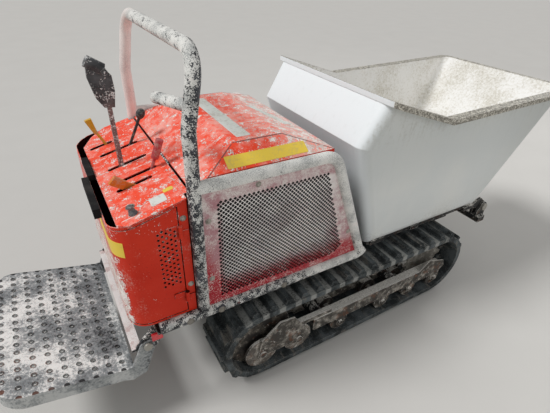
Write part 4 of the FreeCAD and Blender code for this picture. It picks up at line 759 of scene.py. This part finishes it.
def pierced_sheet(outline, holes, y, thick):
    """A flat sheet in the XZ plane with its holes cut through."""
    loops = [list(outline)] + [list(hole) for hole in holes]
    points, faces = [], []
    for loop in loops:
        faces.append(list(range(len(points), len(points) + len(loop))))
        points.extend(Vector(p) for p in loop)
    spots, _, cells, _, _, _ = delaunay_2d_cdt(points, [], faces, 5, 1e-6)
    mesh = bmesh.new()
    near = [mesh.verts.new((p.x, y - thick / 2, p.y)) for p in spots]
    far = [mesh.verts.new((p.x, y + thick / 2, p.y)) for p in spots]
    uses = {}
    for cell in cells:
        mesh.faces.new([near[i] for i in cell])
        mesh.faces.new([far[i] for i in reversed(cell)])
        for a, b in zip(cell, cell[1:] + cell[:1]):
            uses[a, b] = True
    for a, b in uses:
        if (b, a) not in uses:
            mesh.faces.new((near[b], near[a], far[a], far[b]))
    bmesh.ops.recalc_face_normals(mesh, faces=mesh.faces)
    return mesh


# Settings


class DumperPaint(bpy.types.PropertyGroup):
    red_deep: FloatVectorProperty(name="Deep red", description="Sides of hood and cabinet",
                                  subtype="COLOR", size=3, default=paint("CC2A12"))
    red_faded: FloatVectorProperty(name="Faded red", description="Sunlit tops of hood and console",
                                   subtype="COLOR", size=3, default=paint("FF5537"))


class DumperFasteners(bpy.types.PropertyGroup):
    panel_bolt: FloatProperty(name="Panel bolt", description="Head radius of the panel bolts",
                              default=0.0065, min=0.003, unit="LENGTH")
    frame_bolt: FloatProperty(name="Frame bolt", description="Head radius of the frame bolts",
                              default=0.0085, min=0.004, unit="LENGTH")


class DumperMesh(bpy.types.PropertyGroup):
    pitch: FloatProperty(name="Pitch", description="Between rows of the side panel perforation",
                         default=0.0157, min=0.006, unit="LENGTH")
    bar: FloatProperty(name="Bar", description="Metal left between two holes",
                       default=0.0021, min=0.0012, unit="LENGTH")


class DumperStage(bpy.types.PropertyGroup):
    key_power: FloatProperty(name="Key light", description="Strength of the broad key light",
                             default=2.0, min=0.0)
    side_power: FloatProperty(name="Side lights", description="Power of the two soft side lights",
                              default=26.0, min=0.0, unit="POWER")
    fill: FloatProperty(name="Sky", description="Strength of the even light from all round",
                        default=0.37, min=0.0)
    lens: FloatProperty(name="Lens", description="Focal length on a 36 mm frame", default=25.834,
                        min=10.0, unit="CAMERA")
    camera_spot: FloatVectorProperty(name="Camera place", subtype="TRANSLATION", size=3,
                                     description="Where the photograph was taken from",
                                     default=(-0.9156, -1.2600, 1.4826))
    camera_turn: FloatVectorProperty(name="Camera turn", description="How the camera was held",
                                     subtype="EULER", size=3,
                                     default=[math.radians(a) for a in (57.1461, -2.0738, -30.2878)])


# Operators


class DUMPER_OT_paint_nodes(bpy.types.Operator):
    """Gives every CAD node that stays in view its finish"""
    bl_idname = "dumper.paint_nodes"
    bl_label = "Paint the solids"

    def execute(self, context):
        red = finish_of(red_sheet)
        for node in ("hood", "console_top", "cabinet_shell", "cabinet_door", "door_hinges"):
            dress(node, red)
        for node, high, low in (("operator_hoop", 0.50, 0.46), ("grab_bar", 0.58, 0.5),
                                ("guard_frame_left", 0.84, 0.46), ("guard_frame_right", 0.84, 0.46)):
            dress(node, finish_of(crusted_tube, high, low))
        dress("hopper_tub", finish_of(hopper_shell))
        for side in ("left", "right"):
            dress(f"track_{side}", finish_of(track_rubber))
            dress(f"mesh_panel_{side}", finish_of(mesh_sheet))
            dress(f"track_beam_{side}", finish_of(muddy_steel, "3D3934", "A8A298", 0.45, 0.7))
            dress(f"rollers_{side}", finish_of(muddy_steel, "2B2724", "746D62", 0.35, 0.5))
            dress(f"sprocket_{side}", finish_of(muddy_steel, "77736B", "BDB8AD", 0.2, 0.5))
            dress(f"tension_discs_{side}", finish_of(muddy_steel, "57514B", "A8A197", 0.25, 0.5))
        for node in ("chassis_frame", "drive_unit", "front_cross_bar", "hopper_cradle",
                     "cylinder_barrel"):
            dress(node, finish_of(muddy_steel, "1F2022", "55524D", 0.2, 0.3))
        for node in ("engine_deck", "bay_front_panel"):
            dress(node, finish_of(muddy_steel, "131415", "33312E", 0.2, 0.0))
        dress("step_brackets", finish_of(hanger_steel))
        dress("engine_block", finish_of(plain_paint, "08080A", 0.6, 0.08))
        dress("step_deck", finish_of(step_plate))
        dress("cylinder_rod", finish_of(worn_steel, "C9CBCE", 0.9))
        for node in ("pivot_pins", "hood_hinges", "lever_shaft"):
            dress(node, finish_of(worn_steel, "A8A59D", 0.6))
        dress("lever_yellow", finish_of(plain_paint, "D9A91C", 0.45, 0.6))
        dress("lever_orange", finish_of(plain_paint, "D97A1C", 0.45, 0.6))
        dress("lever_tall_grip", finish_of(black_sheet, 0.37))
        dress("lever_dark_knob", finish_of(plain_paint, "26282B", 0.4, 0.5))
        dress("lever_red_knob", finish_of(plain_paint, "B3343C", 0.4, 0.5))
        dress("handle_bar", finish_of(foam_grip))
        dress("hopper_rest_pads", finish_of(plain_paint, "1A1A1A", 0.8, 0.4))
        dress("reflectors", finish_of(red_lens))
        return {"FINISHED"}


class DUMPER_OT_stage(bpy.types.Operator):
    """Lays the pale floor and sets the lights, the sky and the camera"""
    bl_idname = "dumper.stage"
    bl_label = "Set the stage"

    def execute(self, context):
        scene = context.scene
        setting = scene.dumper_stage
        mesh = bmesh.new()
        bmesh.ops.create_grid(mesh, x_segments=2, y_segments=2, size=FLOOR_HALF)
        data = bpy.data.meshes.new("floor")
        mesh.to_mesh(data)
        mesh.free()
        floor = bpy.data.objects.new("floor", data)
        data.materials.append(finish_of(pale_ground))
        scene.collection.objects.link(floor)
        for name, kind, spot, size, power in (
                ("key_light", "SUN", (-3.0, 1.0, 4.4), KEY_SPREAD, setting.key_power),
                ("side_light", "AREA", (1.4, -4.2, 2.6), 2.6, setting.side_power),
                ("front_light", "AREA", (4.4, 0.4, 3.0), 2.4, setting.side_power)):
            lamp = bpy.data.lights.new(name, kind)
            lamp.energy = power
            setattr(lamp, "angle" if kind == "SUN" else "size", size)
            lit = bpy.data.objects.new(name, lamp)
            lit.location = spot
            aim = LIGHTS_AIM - Vector(spot)
            lit.rotation_euler = aim.to_track_quat("-Z", "Y").to_euler()
            scene.collection.objects.link(lit)
        world = bpy.data.worlds.new("sky")
        world.use_nodes = True
        world.node_tree.nodes["Background"].inputs["Color"].default_value = (1, 1, 1, 1)
        world.node_tree.nodes["Background"].inputs["Strength"].default_value = setting.fill
        scene.world = world
        scene.view_settings.view_transform = "Standard"
        camera = bpy.data.cameras.new("photo_camera")
        camera.lens = setting.lens
        camera.sensor_width = 36.0
        camera.sensor_fit = "HORIZONTAL"
        taken = bpy.data.objects.new("photo_camera", camera)
        taken.location = setting.camera_spot
        taken.rotation_euler = setting.camera_turn
        scene.collection.objects.link(taken)
        scene.camera = taken
        return {"FINISHED"}


class DUMPER_OT_side_mesh(bpy.types.Operator):
    """Cuts the two perforated side panels of the engine bay"""
    bl_idname = "dumper.side_mesh"
    bl_label = "Perforated side panels"

    def execute(self, context):
        setting = context.scene.dumper_mesh
        holes = staggered_holes(HOLE_FIELD, setting.pitch, setting.bar)
        thick = box_size(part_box("mesh_panel_left"))[1]
        for side, sign in SIDES:
            mesh = pierced_sheet(PANEL_OUTLINE, holes, sign * SIDE_Y, thick)
            made = piece(f"fine_mesh_{side}", mesh, finish_of(mesh_sheet), "chassis")
            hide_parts(f"mesh_panel_{side}")
        return {"FINISHED"}


class DUMPER_OT_panel_bolts(bpy.types.Operator):
    """Screws the side panels, the cabinet and the guard tubes to their frame"""
    bl_idname = "dumper.panel_bolts"
    bl_label = "Panel and frame bolts"

    def execute(self, context):
        setting = context.scene.dumper_fasteners
        mesh = bmesh.new()
        for sign in (LEFT, RIGHT):
            for x, z in PANEL_BOLTS:
                dome_bolt(mesh, (x, sign * (SIDE_Y + PANEL_FACE), z), (0, sign, 0), setting.panel_bolt)
            for x, z in CABINET_BOLTS:
                dome_bolt(mesh, (x, sign * CABINET_Y, z), (0, sign, 0), setting.panel_bolt)
        piece("panel_bolts", mesh, finish_of(worn_steel, "B9B4AA", 0.6), "chassis")
        mesh = bmesh.new()
        for sign in (LEFT, RIGHT):
            for x in RAIL_BOLTS:
                y = sign * (SIDE_Y + RAIL_R - WASHER_SINK)
                dome_bolt(mesh, (x, y, RAIL_Z), (0, sign, 0), setting.frame_bolt)
        piece("rail_bolts", mesh, finish_of(worn_steel, "8C8880", 0.6), "chassis")
        return {"FINISHED"}


class DUMPER_OT_plates(bpy.types.Operator):
    """Lays the blank plates and label films on hood, console and cabinet"""
    bl_idname = "dumper.plates"
    bl_label = "Blank plates and labels"

    def execute(self, context):
        films = {"yellow": finish_of(label_film, "F0D04A", 0.35),
                 "pale": finish_of(label_film, "DDE0DA", 0.55)}
        for name, body, film, centre, right, up, size in LABELS:
            mesh = bmesh.new()
            slab(mesh, rounded_card(centre, right, up, *size, FILM_CORNER), FILM_THICK)
            piece(name, mesh, films[film], body)
        path = [(CABINET_REAR - FILM_GAP, y) for y in PLATE_SPAN]
        reach = CABINET_CORNER + FILM_GAP
        for bend in PLATE_BENDS:
            angle = math.radians(bend)
            path.append((CABINET_REAR + CABINET_CORNER + reach * math.cos(angle),
                         CABINET_CORNER - CABINET_Y + reach * math.sin(angle)))
        mesh = bmesh.new()
        bent_strip(mesh, path[::-1], PLATE_LOW, PLATE_HIGH, -PLATE_THICK)
        piece("cabinet_plate", mesh, films["yellow"], "chassis")
        return {"FINISHED"}


class DUMPER_OT_step_studs(bpy.types.Operator):
    """Punches the grip rims of the step, in straight rows"""
    bl_idname = "dumper.step_studs"
    bl_label = "Grip rims of the step"

    def execute(self, context):
        rng = random.Random(7)
        slope = (STEP_REAR_Z - STEP_FRONT_Z) / (STEP_REAR_X - STEP_FRONT_X)
        normal = Vector((-slope, 0, 1)).normalized()
        mesh = bmesh.new()
        for row in range(GRIP_ROWS):
            for column in range(GRIP_COLUMNS):
                x = STEP_PIVOT_X - GRIP_START - row * GRIP_PITCH
                y = (column - (GRIP_COLUMNS - 1) / 2) * GRIP_ACROSS
                if row == GRIP_ROWS - 1 and abs(y) > LAST_ROW_HALF:
                    continue
                spot = Vector((x, y, STEP_FRONT_Z + (x - STEP_FRONT_X) * slope))
                r = GRIP_R * rng.uniform(1.0, 1.08)
                turned(mesh, [(r * wide, high) for wide, high in GRIP_RIM_PROFILE], spot, normal, 12)
        piece("step_grip_rims", mesh, finish_of(step_plate), "step")
        return {"FINISHED"}


class DUMPER_OT_console_fittings(bpy.types.Operator):
    """Lays the console's front lip and sets its toggle switch and empty instrument hole"""
    bl_idname = "dumper.console_fittings"
    bl_label = "Console fittings"

    def execute(self, context):
        up = CONSOLE_UP
        mesh = bmesh.new()
        corners = ((LIP_REAR, -LIP_HALF), (LIP_FRONT, -LIP_HALF),
                   (LIP_FRONT, LIP_HALF), (LIP_REAR, LIP_HALF))
        slab(mesh, [on_console(x, y) - up * LIP_DROP for x, y in corners], LIP_THICK)
        piece("console_front_lip", mesh, finish_of(red_sheet), "chassis")
        for name, spot, profile, sides, finish, slot in (
                ("console_toggle", TOGGLE_SPOT, TOGGLE_PROFILE, 18,
                 (plain_paint, "55565A", 0.45, 0.4), "dark_paint"),
                ("console_hole_rim", HOLE_SPOT, HOLE_RIM_PROFILE, 24,
                 (worn_steel, "8F8A82", 0.5), "bare_steel"),
                ("console_hole", HOLE_SPOT, HOLE_PROFILE, 24,
                 (plain_paint, "08090A", 0.9, 0.1), "dark_paint")):
            mesh = bmesh.new()
            turned(mesh, profile, on_console(*spot), up, sides)
            piece(name, mesh, finish_of(*finish), "chassis")
        return {"FINISHED"}


class DUMPER_PT_finish(bpy.types.Panel):
    """Lists the settings and the steps that finish the dumper"""
    bl_idname = "DUMPER_PT_finish"
    bl_label = "Site dumper finish"
    bl_space_type = "VIEW_3D"
    bl_region_type = "UI"
    bl_category = "Dumper"

    def draw(self, context):
        scene = context.scene
        for title, group in (("Paint", scene.dumper_paint), ("Fasteners", scene.dumper_fasteners),
                             ("Side mesh", scene.dumper_mesh), ("Stage", scene.dumper_stage)):
            column = self.layout.column(align=True)
            column.label(text=title)
            for key in group.__annotations__:
                column.prop(group, key)
        column = self.layout.column(align=True)
        for operator in OPERATORS:
            column.operator(operator.bl_idname)


GROUPS = {"dumper_paint": DumperPaint, "dumper_fasteners": DumperFasteners,
          "dumper_mesh": DumperMesh, "dumper_stage": DumperStage}
OPERATORS = (DUMPER_OT_paint_nodes, DUMPER_OT_side_mesh, DUMPER_OT_panel_bolts, DUMPER_OT_plates,
             DUMPER_OT_step_studs, DUMPER_OT_console_fittings, DUMPER_OT_stage)


def register():
    for group in GROUPS.values():
        bpy.utils.register_class(group)
    for name, group in GROUPS.items():
        setattr(bpy.types.Scene, name, PointerProperty(type=group))
    for each in (*OPERATORS, DUMPER_PT_finish):
        bpy.utils.register_class(each)


def unregister():
    for each in reversed((*OPERATORS, DUMPER_PT_finish)):
        bpy.utils.unregister_class(each)
    for name, group in reversed(GROUPS.items()):
        delattr(bpy.types.Scene, name)
        bpy.utils.unregister_class(group)


def main():
    register()
    for operator in OPERATORS:
        family, verb = operator.bl_idname.split(".")
        getattr(getattr(bpy.ops, family), verb)()


if __name__ == "__main__":
    main()
